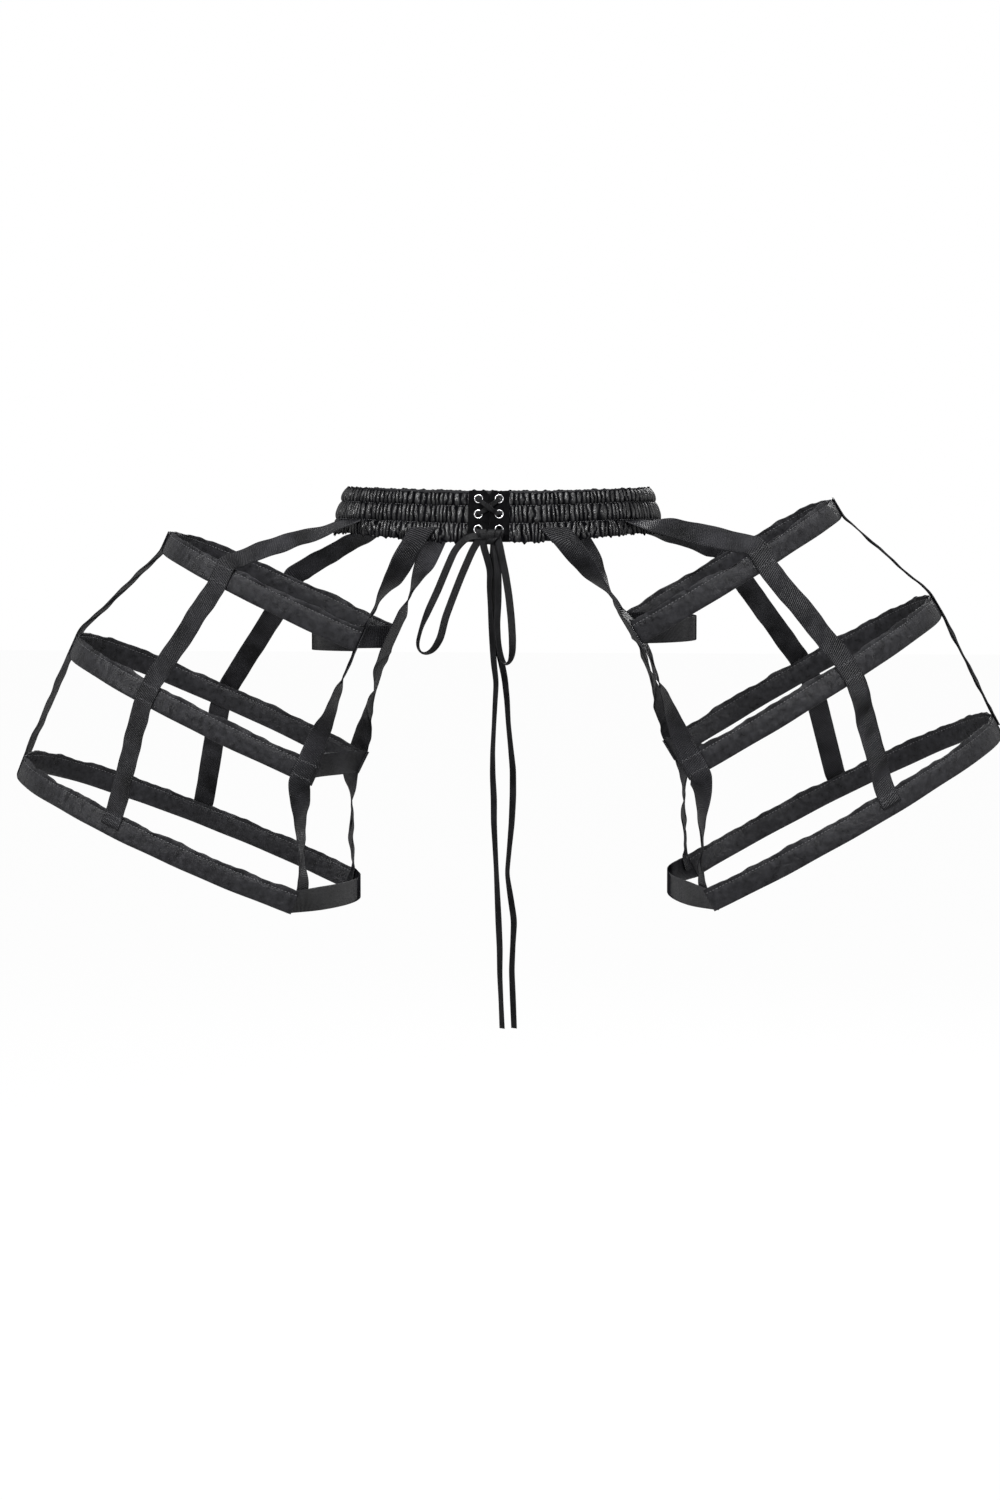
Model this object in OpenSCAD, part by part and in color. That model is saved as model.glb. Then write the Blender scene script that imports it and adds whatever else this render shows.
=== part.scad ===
// Bustle skirt: two open hooped side cages that hang on straps from a shirred
// waistband, which laces and ties at the front.
// Millimetres. The origin is the centre of the waist opening, half way up the
// waistband. +Z is up and the front faces -Y. "Left" is the -X side and "right"
// the +X side, as someone who faces the front sees them.

/* [Waistband] */
// Half the width of the waist opening, half way up
waist_half_width = 136.5; // [125:0.5:150]
// Half the front-to-back depth of the waist opening, half way up
waist_half_depth = 98; // [90:0.5:112]
// Radius of the waist opening at the sides
waist_side_radius = 80; // [66:1:86]
// Height of the waistband
waistband_height = 42; // [36:1:54]
// How much further out the lower edge of the waistband lies than its top edge
waistband_flare = 6; // [0:0.5:10]
// Height of the upper seam above the middle of the waistband
upper_seam = 8; // [6:0.5:9]
// Drop of the lower seam below the middle of the waistband
lower_seam = 7; // [5:0.5:8]
// Gathers round the waistband
gather_count = 110; // [60:2:120]
// Height of a gather's ridge above its valley
gather_depth = 1.5; // [0.6:0.1:2]
// How far the cloth of a channel puffs out between two seams
channel_puff = 1.7; // [0.5:0.1:3]
// Thickness of the gathered cloth at a seam
gathered_cloth = 0.8; // [0.6:0.1:1.5]
// Thickness of the lining
lining_cloth = 1; // [0.6:0.1:1.6]
// Thickness of an elastic
elastic_thickness = 1; // [0.6:0.1:2]
// Height of an elastic
elastic_height = 9; // [6:0.5:10]

/* [Lacing] */
// Width of one eyelet panel
panel_width = 17; // [14:0.5:22]
// Thickness of an eyelet panel
panel_thickness = 3.4; // [2.4:0.1:4.5]
// Depth of the notch at the top of the centre front
notch_depth = 6; // [0:0.5:6]
// Width of the notch at the top
notch_width = 5.6; // [1:0.1:7]
// Distance of the eyelets from the centre front
eyelet_inset = 8.6; // [7:0.1:11]
// Height of the upper eyelets above the middle of the waistband
eyelet_top = 11.5; // [9:0.5:14]
// Distance from one eyelet to the next
eyelet_pitch = 12.8; // [10:0.1:14]
// Radius of the hole through an eyelet
eyelet_hole_radius = 2.5; // [2.2:0.1:3]
// Width of an eyelet's rim
eyelet_rim = 1.5; // [0.8:0.1:2]
// Thickness of the metal of an eyelet
eyelet_metal = 0.4; // [0.3:0.05:0.6]
// Width of the lace
lace_width = 5; // [3:0.1:7]
// Thickness of the lace
lace_thickness = 0.8; // [0.5:0.1:1.2]

/* [Cages] */
// Height of the hoop casings
casing_height = 21; // [17:0.5:26]
// Thickness of one layer of casing tape
casing_tape = 0.8; // [0.5:0.1:1.2]
// Height of the two flat layers above the stitch line of a casing
casing_lip = 3.6; // [2.5:0.1:5]
// Length of a casing's closed end
casing_end = 4; // [2:0.5:10]
// Width of the flat bone inside a casing
bone_width = 11; // [6:0.5:12]
// Thickness of the flat bone inside a casing
bone_thickness = 1.5; // [0.8:0.1:2]
// How round the outer ends are, as a share of the half depth
outer_roundness = 0.75; // [0.6:0.01:0.85]
// Where a hoop is deepest, as a share of its reach
deepest_share = 0.3; // [0.2:0.01:0.4]
// Reach of the top hoops, from the inner corners to the outer end
top_reach = 205; // [180:1:225]
// Reach of the middle hoops
middle_reach = 265; // [240:1:280]
// Reach of the bottom hoops
bottom_reach = 301; // [285:1:325]
// Half depth of the top hoops
top_half_depth = 90; // [75:1:100]
// Half depth of the middle hoops
middle_half_depth = 115; // [100:1:128]
// Half depth of the bottom hoops
bottom_half_depth = 139; // [125:1:150]

/* [Hang] */
// Distance of the left top hoop's inner corners from the middle
left_corner_out = 106; // [100:1:120]
// Depth of the left top hoop's inner corners below the waist
left_corner_drop = 112; // [95:1:125]
// Distance of the right top hoop's inner corners from the middle
right_corner_out = 116; // [100:1:125]
// Depth of the right top hoop's inner corners below the waist
right_corner_drop = 102; // [90:1:120]
// Rise of the left hoops towards their outer ends, in degrees
left_rise = 24.5; // [18:0.5:30]
// Rise of the right hoops towards their outer ends, in degrees
right_rise = 31; // [24:0.5:34]
// How much less the bottom hoops rise, in degrees
bottom_rise_less = 2.5; // [0:0.5:5]
// How far the back of the left hoops hangs below the front, in degrees
left_back_drop = 2.5; // [0:0.5:5]
// How far the back of the right hoops hangs below the front, in degrees
right_back_drop = 0.5; // [0:0.5:5]
// Turn of the cages towards the back, in degrees
cage_turn = 5.5; // [0:0.5:10]
// Step outwards from a top hoop to the middle hoop
middle_step_out = 38; // [25:1:45]
// Step backwards from a top hoop to the middle hoop
middle_step_back = 41; // [20:1:50]
// Step down from a top hoop to the middle hoop
middle_step_down = 118; // [100:1:130]
// Step outwards from a middle hoop to the bottom hoop
bottom_step_out = 20; // [10:1:30]
// Step backwards from a middle hoop to the bottom hoop
bottom_step_back = 40; // [20:1:50]
// Step down from a middle hoop to the bottom hoop
bottom_step_down = 115; // [100:1:130]
// Outward bulge of the hip tape on the top hoops
top_hip_bulge = 54; // [30:1:60]
// Outward bulge of the hip tape on the middle hoops
middle_hip_bulge = 26; // [10:1:40]
// Inward curve of the tape behind the thigh on the bottom hoops
bottom_thigh_curve = 30; // [0:1:45]

/* [Straps] */
// Width of the straps
strap_width = 19; // [14:0.5:24]
// Thickness of the straps and the hip tapes
strap_thickness = 0.9; // [0.6:0.1:1.4]
// Gap left between layers that are sewn together
layer_gap = 0.3; // [0.2:0.05:0.5]
// Distance of the inner straps from the middle, at the waistband
inner_strap_out = 56; // [45:1:70]
// Place of the front side straps on the waistband, in degrees from its side
side_strap_angle = 42; // [15:1:50]
// Distance of the back side straps from the middle, at the waistband
back_strap_out = 96; // [80:1:110]
// Place of the inner straps on the middle hoop, from its inner corner
inner_strap_at = 11; // [10:0.5:20]
// Place of the front side strap on the top hoop, from the inner corner
front_strap_at_top = 123; // [100:1:140]
// How much further out the left front side strap crosses the top hoop
left_strap_shift = 9; // [0:1:15]
// Place of the front side strap on the middle hoop
front_strap_at_middle = 164; // [140:1:180]
// Place of the front side strap on the bottom hoop
front_strap_at_bottom = 177; // [160:1:200]
// Place of the back side strap on the top hoop, from the inner corner
back_strap_at_top = 108; // [90:1:130]
// Place of the back side strap on the middle hoop
back_strap_at_middle = 145; // [120:1:165]
// Place of the back side strap on the bottom hoop
back_strap_at_bottom = 161; // [140:1:190]
// Extra turn of the slack inner straps between the top and middle hoops, in degrees
upper_strap_twist = 12; // [0:1:40]
// Extra turn of the slack inner straps between the middle and bottom hoops
lower_strap_twist = 45; // [0:1:60]
// Extra turn of the front side straps above the top hoops, in degrees
left_strap_twist = 14; // [0:1:50]
// The same on the right, where the strap shows its whole width
right_strap_twist = 40; // [0:1:50]
// Depth of the inner straps' ends below the waistband's lower seam
inner_strap_drop = 5; // [1:0.5:8]

/* [Hidden] */
SIDES = ["left", "right"];
HOOPS = ["top", "middle", "bottom"];
STRAPS = ["front_inner", "front_side", "outer", "back_side", "back_inner"];
$fn = 96;

SATIN = [0.09, 0.09, 0.1];
MATTE = [0.03, 0.03, 0.035];
RIBBON = [0.16, 0.16, 0.17];
BONE = [0.8, 0.8, 0.77];

// Small vector helpers
function unit(v) = v / norm(v);
function mix(a, b, share) = a + (b - a) * share;
// v turned about the unit axis k
function turned(v, k, angle) =
    v * cos(angle) + cross(k, v) * sin(angle) + k * (k * v) * (1 - cos(angle));

// Lofting: rings of as many points each, joined by triangles, closed at both ends.
// Both faces of a thin ring are cut along the same diagonal, so they never cross.
function loft_faces(rings, points) = concat(
    [[for (j = [0:points - 1]) j]],
    [for (i = [0:rings - 2], j = [0:points - 1], half = [0, 1])
        let (a = i * points + j, b = i * points + (j + 1) % points)
        j < points / 2 ? (half == 0 ? [a, a + points, b] : [b, a + points, b + points])
            : (half == 0 ? [a, a + points, b + points] : [a, b + points, b])],
    [[for (j = [points - 1:-1:0]) (rings - 1) * points + j]]);

module loft(rings) {
    points = len(rings[0]);
    polyhedron([for (ring = rings) each ring], loft_faces(len(rings), points), convexity = 10);
}

// A ribbon from stations of [centre, direction across]. Where it runs at a slant
// to that direction the cut is longer, so that its width stays true.
function along(stations, i) = unit(stations[min(i + 1, len(stations) - 1)][0] - stations[max(i - 1, 0)][0]);
function ribbon_ring(station, run, width, thickness) =
    let (slant = norm(cross(station[1], run)),
        half_across = station[1] * width / 2 / max(slant, 0.4),
        half_through = unit(cross(run, station[1])) * thickness / 2)
    [station[0] - half_across - half_through, station[0] + half_across - half_through,
     station[0] + half_across + half_through, station[0] - half_across + half_through];

module ribbon(stations, width, thickness) {
    loft([for (i = [0:len(stations) - 1])
        ribbon_ring(stations[i], along(stations, i), width, thickness)]);
}

// An arc of a section, drawn at its radius and height, from one angle to another.
// Where arcs of two radii meet, the tighter one runs on for arc_lap and its section
// is a hair slimmer all round, so that they join cleanly. A section reads $slimmer.
arc_lap = 2;
arc_slim = 0.05;
$slimmer = 0;
module arc_band(centre, radius, from, to) {
    translate([centre[0], centre[1], 0]) rotate([0, 0, from])
        rotate_extrude(angle = to - from) translate([radius, 0]) children();
}
module tight_arc_band(centre, radius, from, to) {
    lap = arc_lap / radius * 180 / PI;
    let ($slimmer = arc_slim) arc_band(centre, radius, from - lap, to + lap) children();
}

// The waist oval: long arcs in front and behind, and tight arcs at the sides
side_centre = waist_half_width - waist_side_radius;
front_centre = (side_centre ^ 2 - (waist_half_depth - waist_side_radius) ^ 2)
    / (2 * (waist_half_depth - waist_side_radius));
front_radius = waist_half_depth + front_centre;
front_turn = atan2(side_centre, front_centre);
front_length = front_radius * front_turn * PI / 180;
side_length = waist_side_radius * (180 - 2 * front_turn) * PI / 180;
oval_length = 4 * front_length + 2 * side_length;
half_height = waistband_height / 2;
function lean(z) = -z * waistband_flare / waistband_height;

// Direction outwards and centre of the arc at a distance round from centre front
function oval_turn(t) =
    t < front_length ? [t / front_radius * 180 / PI, [0, front_centre], front_radius]
    : t < front_length + side_length
        ? [front_turn + (t - front_length) / waist_side_radius * 180 / PI,
            [side_centre, 0], waist_side_radius]
    : [180 - (oval_length / 2 - t) / front_radius * 180 / PI, [0, -front_centre], front_radius];
function oval_point(t, offset, z) =
    let (right = t <= oval_length / 2, arc = oval_turn(right ? t : oval_length - t),
        out = arc[2] + offset + lean(z), x = arc[1][0] + out * sin(arc[0]),
        y = arc[1][1] - out * cos(arc[0]))
    [right ? x : -x, y, z];

// A section swept round the waist oval, from one eyelet panel to the other
panel_turn = asin((panel_width + layer_gap) / front_radius);
module waist_sweep() {
    arc_band([0, front_centre], front_radius, -90 + panel_turn, -90 + front_turn) children();
    tight_arc_band([side_centre, 0], waist_side_radius, -90 + front_turn, 90 - front_turn) children();
    arc_band([0, -front_centre], front_radius, 90 - front_turn, 90 + front_turn) children();
    tight_arc_band([-side_centre, 0], waist_side_radius, 90 + front_turn, 270 - front_turn) children();
    arc_band([0, front_centre], front_radius, 270 - front_turn, 270 - panel_turn) children();
}
// A leaning layer of the waistband between two heights
module layer(offset, thickness, low, high) {
    inner = offset + $slimmer;
    outer = offset + thickness - $slimmer;
    bottom = low + $slimmer;
    top = high - $slimmer;
    polygon([[inner + lean(bottom), bottom], [outer + lean(bottom), bottom],
        [outer + lean(top), top], [inner + lean(top), top]]);
}

// The waistband's layers, from the body outwards
elastic_offset = lining_cloth + layer_gap;
gathered_offset = elastic_offset + elastic_thickness + layer_gap;
ridge_offset = gathered_offset + gathered_cloth + channel_puff + gather_depth / 2;
channel_heights = [(half_height + upper_seam) / 2, (upper_seam - lower_seam) / 2,
    -(half_height + lower_seam) / 2];

// Rows of the gathered cloth from the top edge down:
// height, share of the puff, share of the gathers' depth
function channel_rows(top, bottom, fullness) =
    [for (share = [0.25, 0.72]) [mix(top, bottom, share), fullness, 1]];
gather_rows = concat(
    [[half_height, 0.35, 0.5]], channel_rows(half_height, upper_seam, 1),
    [[upper_seam, 0, 0.2]], channel_rows(upper_seam, -lower_seam, 0.95),
    [[-lower_seam, 0, 0.2]], channel_rows(-lower_seam, -half_height, 1),
    [[-half_height, 0.55, 1]]);

// Ridges and valleys in turn, none quite as deep as the next
function gather_wave(i, row) =
    (i % 2 == 0 ? 0.5 : -0.5) * (0.72 + 0.28 * sin(i * 137 + row * 61));
gather_steps = 2 * gather_count;
gather_from = front_radius * panel_turn * PI / 180;
function gather_ring(i) =
    let (t = mix(gather_from, oval_length - gather_from, i / gather_steps))
    concat(
        [for (row = [0:len(gather_rows) - 1])
            let (r = gather_rows[row], wave = gather_wave(i, row),
                edge = row == 0 || row == len(gather_rows) - 1 ? wave * 0.8 : 0,
                offset = gathered_offset + gathered_cloth + channel_puff * r[1]
                    + gather_depth * (wave * r[2] + r[2] / 2 * (r[1] == 0 ? 1 : 0)))
            oval_point(t, offset, r[0] + edge)],
        [oval_point(t, gathered_offset, -half_height), oval_point(t, gathered_offset, half_height)]);

module waistband_outer() {
    color(SATIN) loft([for (i = [0:gather_steps]) gather_ring(i)]);
}

// The lining stands up to the gathered cloth along the two seams, where both are sewn
module waistband_lining() {
    land = gathered_offset - layer_gap - lining_cloth;
    land_height = 2;
    color(MATTE) waist_sweep() {
        union() {
            layer(0, lining_cloth, -half_height, half_height);
            for (z = [upper_seam, -lower_seam])
                layer(lining_cloth / 2, land + lining_cloth / 2, z - land_height / 2, z + land_height / 2);
        }
    }
}

module elastic(channel) {
    z = channel_heights[channel];
    color("dimgray") waist_sweep()
        layer(elastic_offset, elastic_thickness, z - elastic_height / 2, z + elastic_height / 2);
}

// Eyelet panels and their eyelets, which stand square to the leaning panel
panel_lean = atan(waistband_flare / waistband_height);
eyelet_barrel = eyelet_hole_radius + eyelet_metal;
eyelet_rows = [for (k = [0:2]) eyelet_top - k * eyelet_pitch];
eyelet_turn = asin(eyelet_inset / front_radius);
module at_eyelet(side, z) {
    mirror([side == "left" ? 1 : 0, 0, 0]) translate([0, front_centre, 0]) rotate([0, 0, eyelet_turn])
        translate([0, -front_radius - lean(z), z]) rotate([90 - panel_lean, 0, 0]) children();
}

module eyelet_panel(side) {
    centre_turn = asin(layer_gap / 2 / front_radius);
    color(MATTE) difference() {
        mirror([side == "left" ? 1 : 0, 0, 0])
            arc_band([0, front_centre], front_radius, -90 + centre_turn,
                -90 + asin(panel_width / front_radius))
                layer(0, panel_thickness, -half_height, half_height);
        for (z = eyelet_rows)
            at_eyelet(side, z)
                cylinder(r = eyelet_barrel + layer_gap / 2, h = 6 * panel_thickness, center = true);
        translate([0, -waist_half_depth, half_height])
            rotate([90, 0, 0]) linear_extrude(height = 4 * panel_thickness + 2 * waistband_flare, center = true)
                polygon([[-notch_width / 2, layer_gap], [0, -notch_depth], [notch_width / 2, layer_gap]]);
    }
}

// One eyelet: a barrel with a rounded rim in front and a flat washer behind
module eyelet() {
    rim_radius = eyelet_barrel + eyelet_rim;
    front = panel_thickness + layer_gap / 2;
    back = -layer_gap / 2;
    rotate_extrude() polygon(concat(
        [[eyelet_hole_radius, back - eyelet_metal], [rim_radius, back - eyelet_metal],
            [rim_radius, back], [eyelet_barrel, back], [eyelet_barrel, front], [rim_radius, front]],
        [for (a = [0:30:90]) [rim_radius - eyelet_rim / 2 + eyelet_rim / 2 * cos(a),
            front + eyelet_metal / 2 + eyelet_metal * sin(a)]],
        [[eyelet_hole_radius, front + eyelet_metal]]));
}

module eyelets() {
    color("silver") for (side = SIDES, z = eyelet_rows) at_eyelet(side, z) eyelet();
}

// The lace: it lies behind the panels between the upper eyelets, crosses in front
// to the middle ones, runs behind to the lower ones and comes out to the knot.
lace_front = panel_thickness + layer_gap * 1.5 + eyelet_metal * 1.5 + lace_thickness / 2;
lace_back = -(layer_gap * 2.5 + eyelet_metal + lace_thickness / 2);
knot_half = [9.5, 3.2, 5.8];
knot_at = [2, -(waist_half_depth + lean(-half_height) + lace_front + 1.5 * lace_thickness
        + layer_gap + knot_half[1]), 0.8 - half_height];
lace_end = [2.5, knot_at[2] + knot_half[2] + 3 * layer_gap];
// [x, z, offset from the waist line, width, direction across as an angle in the panel]
function through_hole(x, z, into_front, angle) =
    let (narrow = 0.6 * lace_width,
        steps = [[lace_front + lace_thickness / 2, angle], [panel_thickness * 0.75, 0],
            [panel_thickness * 0.25, 0], [lace_back, 0]])
    [for (k = [0:3]) let (step = steps[into_front ? k : 3 - k]) [x, z, step[0], narrow, step[1]]];
cross_angle = atan2(eyelet_pitch, 2 * eyelet_inset) - 90;
lace_half = concat(
    [[0, eyelet_rows[0], lace_back, lace_width * 0.8, 90],
        [eyelet_inset * 0.6, eyelet_rows[0], lace_back, lace_width * 0.6, 70]],
    through_hole(eyelet_inset, eyelet_rows[0], false, cross_angle),
    [for (share = [0.16, 0.3, 0.5, 0.7, 0.84])
        [mix(eyelet_inset, -eyelet_inset, share), mix(eyelet_rows[0], eyelet_rows[1], share),
            lace_front, lace_width * (share == 0.5 ? 1 : 0.8), cross_angle]],
    through_hole(-eyelet_inset, eyelet_rows[1], true, cross_angle),
    [[-eyelet_inset, mix(eyelet_rows[1], eyelet_rows[2], 0.5), lace_back, lace_width * 0.8, 0]],
    through_hole(-eyelet_inset, eyelet_rows[2], false, 60),
    [[-mix(lace_end[0], eyelet_inset, 0.6), mix(lace_end[1], eyelet_rows[2], 0.6),
        lace_front + lace_thickness, lace_width * 0.6, 50],
    [-lace_end[0], lace_end[1], -knot_at[1] - waist_half_depth - lean(lace_end[1]),
        lace_width * 0.6, 20]]);
function lace_station(s, flip) =
    let (x = flip ? -s[0] : s[0], a = flip ? 180 - s[4] : s[4],
        raise = flip && abs(s[0]) < eyelet_inset / 2 && s[2] == lace_front ? 2.2 * lace_thickness : 0,
        out = front_radius + s[2] + raise + lean(s[1]))
    [[x, front_centre - sqrt(out ^ 2 - x ^ 2), s[1]], [cos(a), 0, sin(a)], s[3]];
lace_route = concat(
    [for (i = [len(lace_half) - 1:-1:1]) lace_station(lace_half[i], true)],
    [for (s = lace_half) lace_station(s, false)]);

module lacing() {
    color(MATTE) loft([for (i = [0:len(lace_route) - 1])
        let (s = lace_route[i], run = along(lace_route, i),
            across = unit(s[1] - run * (run * s[1])))
        ribbon_ring([s[0], across], run, s[2], lace_thickness)]);
}

// Cords of the bow. Their routes are [x, distance in front of the knot's middle, z].
left_loop_route = [[-9, 0, -19], [-15, 0, -19], [-21, 0, -23], [-28, 0, -31], [-35, 0, -47],
    [-42, 0, -64], [-50, 0, -81], [-56, 0, -95], [-60, 0, -110], [-58, 0, -117], [-53, 0, -119],
    [-46, 0, -115], [-40, 0, -105], [-36, 0, -88], [-30, 0, -72], [-23, 0, -54], [-17, 0, -40],
    [-13, 0, -31], [-9, 0, -24]];
right_loop_route = [[10, 3, -26], [12, 4, -36], [15, 4, -50], [18, 4, -69], [20, 4, -88],
    [21, 4, -104], [21, 4, -117], [19, 4, -125], [15, 4, -128], [11, 4, -120], [9, 4, -108],
    [8, 4, -92], [9, 4, -73], [9, 4, -54], [8, 3, -40], [6, 1, -27]];
left_tail_route = [[-4, 0, -27], [-1, 0, -36], [2, 0, -48], [1, 0, -62], [2, 0, -78], [3, 0, -94],
    [4, 0, -110], [5, 0, -126], [7, 0, -142], [6, 0, -160], [5, 0, -180], [4, 0, -200],
    [4, 0, -220], [5, 0, -240], [5, 0, -260], [6, 0, -280], [7, 0, -300], [8, 0, -322],
    [9, 0, -345], [10, 0, -368], [10, 0, -390], [11, 0, -412], [12, 0, -436]];
right_tail_route = [[5, -1, -27], [4, -2, -37], [3, -2, -48], [4, -2, -62], [5, -2, -78],
    [5, -2, -94], [7, -2, -108], [11, -2, -124], [14, -2, -138], [16, -2, -157], [17, -2, -176],
    [19, -2, -196], [21, -2, -216], [21, -2, -238], [20, -2, -260], [18, -2, -282],
    [16, -2, -304], [19, -2, -324], [22, -2, -344], [21, -2, -364], [20, -2, -386],
    [21, -2, -411], [22, -2, -436]];

function route_point(p) = [p[0], knot_at[1] - p[1], p[2]];
// Eight corners of a flat lace, its broad side facing forwards
function lace_ring(route, i) =
    let (here = route_point(route[i]),
        run = unit(route_point(route[min(i + 1, len(route) - 1)]) - route_point(route[max(i - 1, 0)])),
        across = unit(cross(run, [0, 1, 0])), through = unit(cross(across, run)))
    [for (k = [7:-1:0]) here + across * cos(45 * k) * lace_width / 2
        + through * sin(45 * k) * lace_thickness * 0.9];
module lace(route) {
    color(MATTE) loft([for (i = [0:len(route) - 1]) lace_ring(route, i)]);
}

// The knot: a squat lump that the loops and tails come out of
module bow_knot() {
    color(MATTE) loft([for (a = [-75:25:75])
        [for (b = [330:-30:0])
            knot_at + [knot_half[0] * sin(a), knot_half[1] * cos(a) * sin(b), knot_half[2] * cos(a) * cos(b)]]]);
}

// Hoops. Each lies in its own plane, with u outwards from its inner corners,
// v backwards and n up the cage.
reach = [top_reach, middle_reach, bottom_reach];
half_depth = [top_half_depth, middle_half_depth, bottom_half_depth];
end_radius = outer_roundness * half_depth;
band_u = deepest_share * reach;
end_u = reach - end_radius;
band_radius = [for (i = [0:2])
    ((end_u[i] - band_u[i]) ^ 2 / (half_depth[i] - end_radius[i]) + end_radius[i] + half_depth[i]) / 2];
band_v = band_radius - half_depth;
end_turn = [for (i = [0:2]) atan2(band_v[i], end_u[i] - band_u[i])];
corner_turn = [for (i = [0:2]) acos(-band_u[i] / band_radius[i])];

step_out = [0, middle_step_out, middle_step_out + bottom_step_out];
step_back = [0, middle_step_back, middle_step_back + bottom_step_back];
step_down = [0, middle_step_down, middle_step_down + bottom_step_down];
rise_less = [0, 0, bottom_rise_less];
function hoop_index(hoop) = search([hoop], HOOPS)[0];
function hoop_place(side, i) = side == "left"
    ? [left_corner_out + step_out[i], step_back[i], -left_corner_drop - step_down[i]]
    : [right_corner_out + step_out[i], step_back[i], -right_corner_drop - step_down[i]];
function hoop_rise(side, i) = (side == "left" ? left_rise : right_rise) - rise_less[i];
function hoop_pitch(side) = side == "left" ? -left_back_drop : -right_back_drop;

module in_hoop(side, i) {
    mirror([side == "left" ? 1 : 0, 0, 0]) translate(hoop_place(side, i))
        rotate([hoop_pitch(side), -hoop_rise(side, i), cage_turn]) children();
}
function hoop_axes(side, i) =
    let (pitch = hoop_pitch(side), rise = hoop_rise(side, i),
        out = [cos(cage_turn), sin(cage_turn), 0], back = [-sin(cage_turn), cos(cage_turn), 0],
        up = [0, 0, 1], u = out * cos(rise) + up * sin(rise), n = up * cos(rise) - out * sin(rise))
    [u, back * cos(pitch) + n * sin(pitch), n * cos(pitch) - back * sin(pitch)];
function mirrored(side, v) = side == "left" ? [-v[0], v[1], v[2]] : v;
function hoop_vector(side, i, v) =
    let (axes = hoop_axes(side, i)) mirrored(side, axes[0] * v[0] + axes[1] * v[1] + axes[2] * v[2]);
function hoop_point(side, i, v) = mirrored(side, hoop_place(side, i)) + hoop_vector(side, i, v);

// A section swept along a hoop: front band, outer end and back band
module hoop_sweep(i, shorter = 0) {
    cut = shorter / band_radius[i] * 180 / PI;
    arc_band([band_u[i], band_v[i]], band_radius[i], cut - corner_turn[i], -end_turn[i]) children();
    tight_arc_band([end_u[i], 0], end_radius[i], -end_turn[i], end_turn[i]) children();
    arc_band([band_u[i], -band_v[i]], band_radius[i], end_turn[i], corner_turn[i] - cut) children();
}

// Section of a casing: tape folded along the lower edge, sewn flat above the bone
pocket_half = bone_thickness / 2 + layer_gap;
casing_half = pocket_half + casing_tape;
casing_low = -casing_height / 2;
casing_top = casing_height / 2;
pocket_low = casing_low + casing_tape + layer_gap;
pocket_high = pocket_low + bone_width + 2 * layer_gap;
seam_height = casing_top - casing_lip;
module casing_section() {
    wide = casing_half - $slimmer;
    low = casing_low + $slimmer;
    lip = casing_tape - $slimmer;
    half = [[wide * 0.35, low], [wide * 0.75, low + wide * 0.3], [wide, low + wide],
        [wide, pocket_high], [lip, seam_height], [lip, casing_top - $slimmer]];
    polygon(concat(half, [for (k = [len(half) - 1:-1:0]) [-half[k][0], half[k][1]]]));
}
// A strip of the casing's middle, as wide and as high as asked
module middle_section(thickness, low, high) {
    polygon([for (corner = [[-1, 0], [1, 0], [1, 1], [-1, 1]])
        [corner[0] * (thickness / 2 - $slimmer),
            corner[1] == 0 ? low + $slimmer : high - $slimmer]]);
}

module hoop_casing(side, hoop) {
    i = hoop_index(hoop);
    color(SATIN) in_hoop(side, i) difference() {
        hoop_sweep(i) casing_section();
        hoop_sweep(i, casing_end) middle_section(2 * pocket_half, pocket_low, pocket_high);
    }
}

module hoop_bone(side, hoop) {
    i = hoop_index(hoop);
    color(BONE) in_hoop(side, i) hoop_sweep(i, casing_end + layer_gap)
        middle_section(bone_thickness, pocket_low + layer_gap, pocket_low + layer_gap + bone_width);
}

// A place on a hoop, in its plane: [point, direction outwards, direction along].
// face is -1 on the front band and 1 on the back band.
function band_place(i, at, face) =
    let (c = (at - band_u[i]) / band_radius[i], s = sqrt(1 - c ^ 2))
    [[at, face * (band_radius[i] * s - band_v[i]), 0], [c, face * s, 0], [s, -face * c, 0]];
function tip_place(i) = [[reach[i], 0, 0], [1, 0, 0], [0, 1, 0]];

// Hip tapes: from inside the front corner round the hip to inside the back corner
tape_lift = casing_half + layer_gap + strap_thickness / 2;
hip_bulge = [top_hip_bulge, middle_hip_bulge, -bottom_thigh_curve];
tape_steps = 20;
function corner_inside(side, i, face) =
    let (place = band_place(i, 2, face))
    hoop_point(side, i, place[0] - place[1] * tape_lift);
function hip_station(side, i, share) =
    let (front = corner_inside(side, i, -1), back = corner_inside(side, i, 1),
        chord = norm([back[0] - front[0], back[1] - front[1], 0]),
        way = (back - front) / chord,
        out = mirrored(side, [mirrored(side, way)[1], -mirrored(side, way)[0], 0]),
        b = hip_bulge[i], radius = (chord ^ 2 / 4 + b ^ 2) / (2 * abs(b)),
        spread = 2 * atan(2 * abs(b) / chord), angle = mix(-spread, spread, share),
        run = chord / 2 + radius * sin(angle),
        bulge = sign(b) * (radius * cos(angle) - radius * cos(spread)),
        level = max(0, 1 - 6 * min(share, 1 - share)),
        across = unit(mix([0, 0, 1], hoop_vector(side, i, [0, 0, 1]), level)))
    [front + way * run + out * bulge, across];

module hip_tape(side, hoop) {
    i = hoop_index(hoop);
    color(RIBBON) ribbon([for (k = [0:tape_steps]) hip_station(side, i, k / tape_steps)],
        casing_height, strap_thickness);
}

// Straps. Each is sewn to the lowest channel of the waistband and lies over the
// outside of every casing that it crosses.
strap_lift = casing_half + layer_gap + strap_thickness / 2;
waist_lift = ridge_offset + layer_gap + strap_thickness / 2;
seam_lift = gathered_offset + gathered_cloth + gather_depth / 2 + layer_gap;
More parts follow.
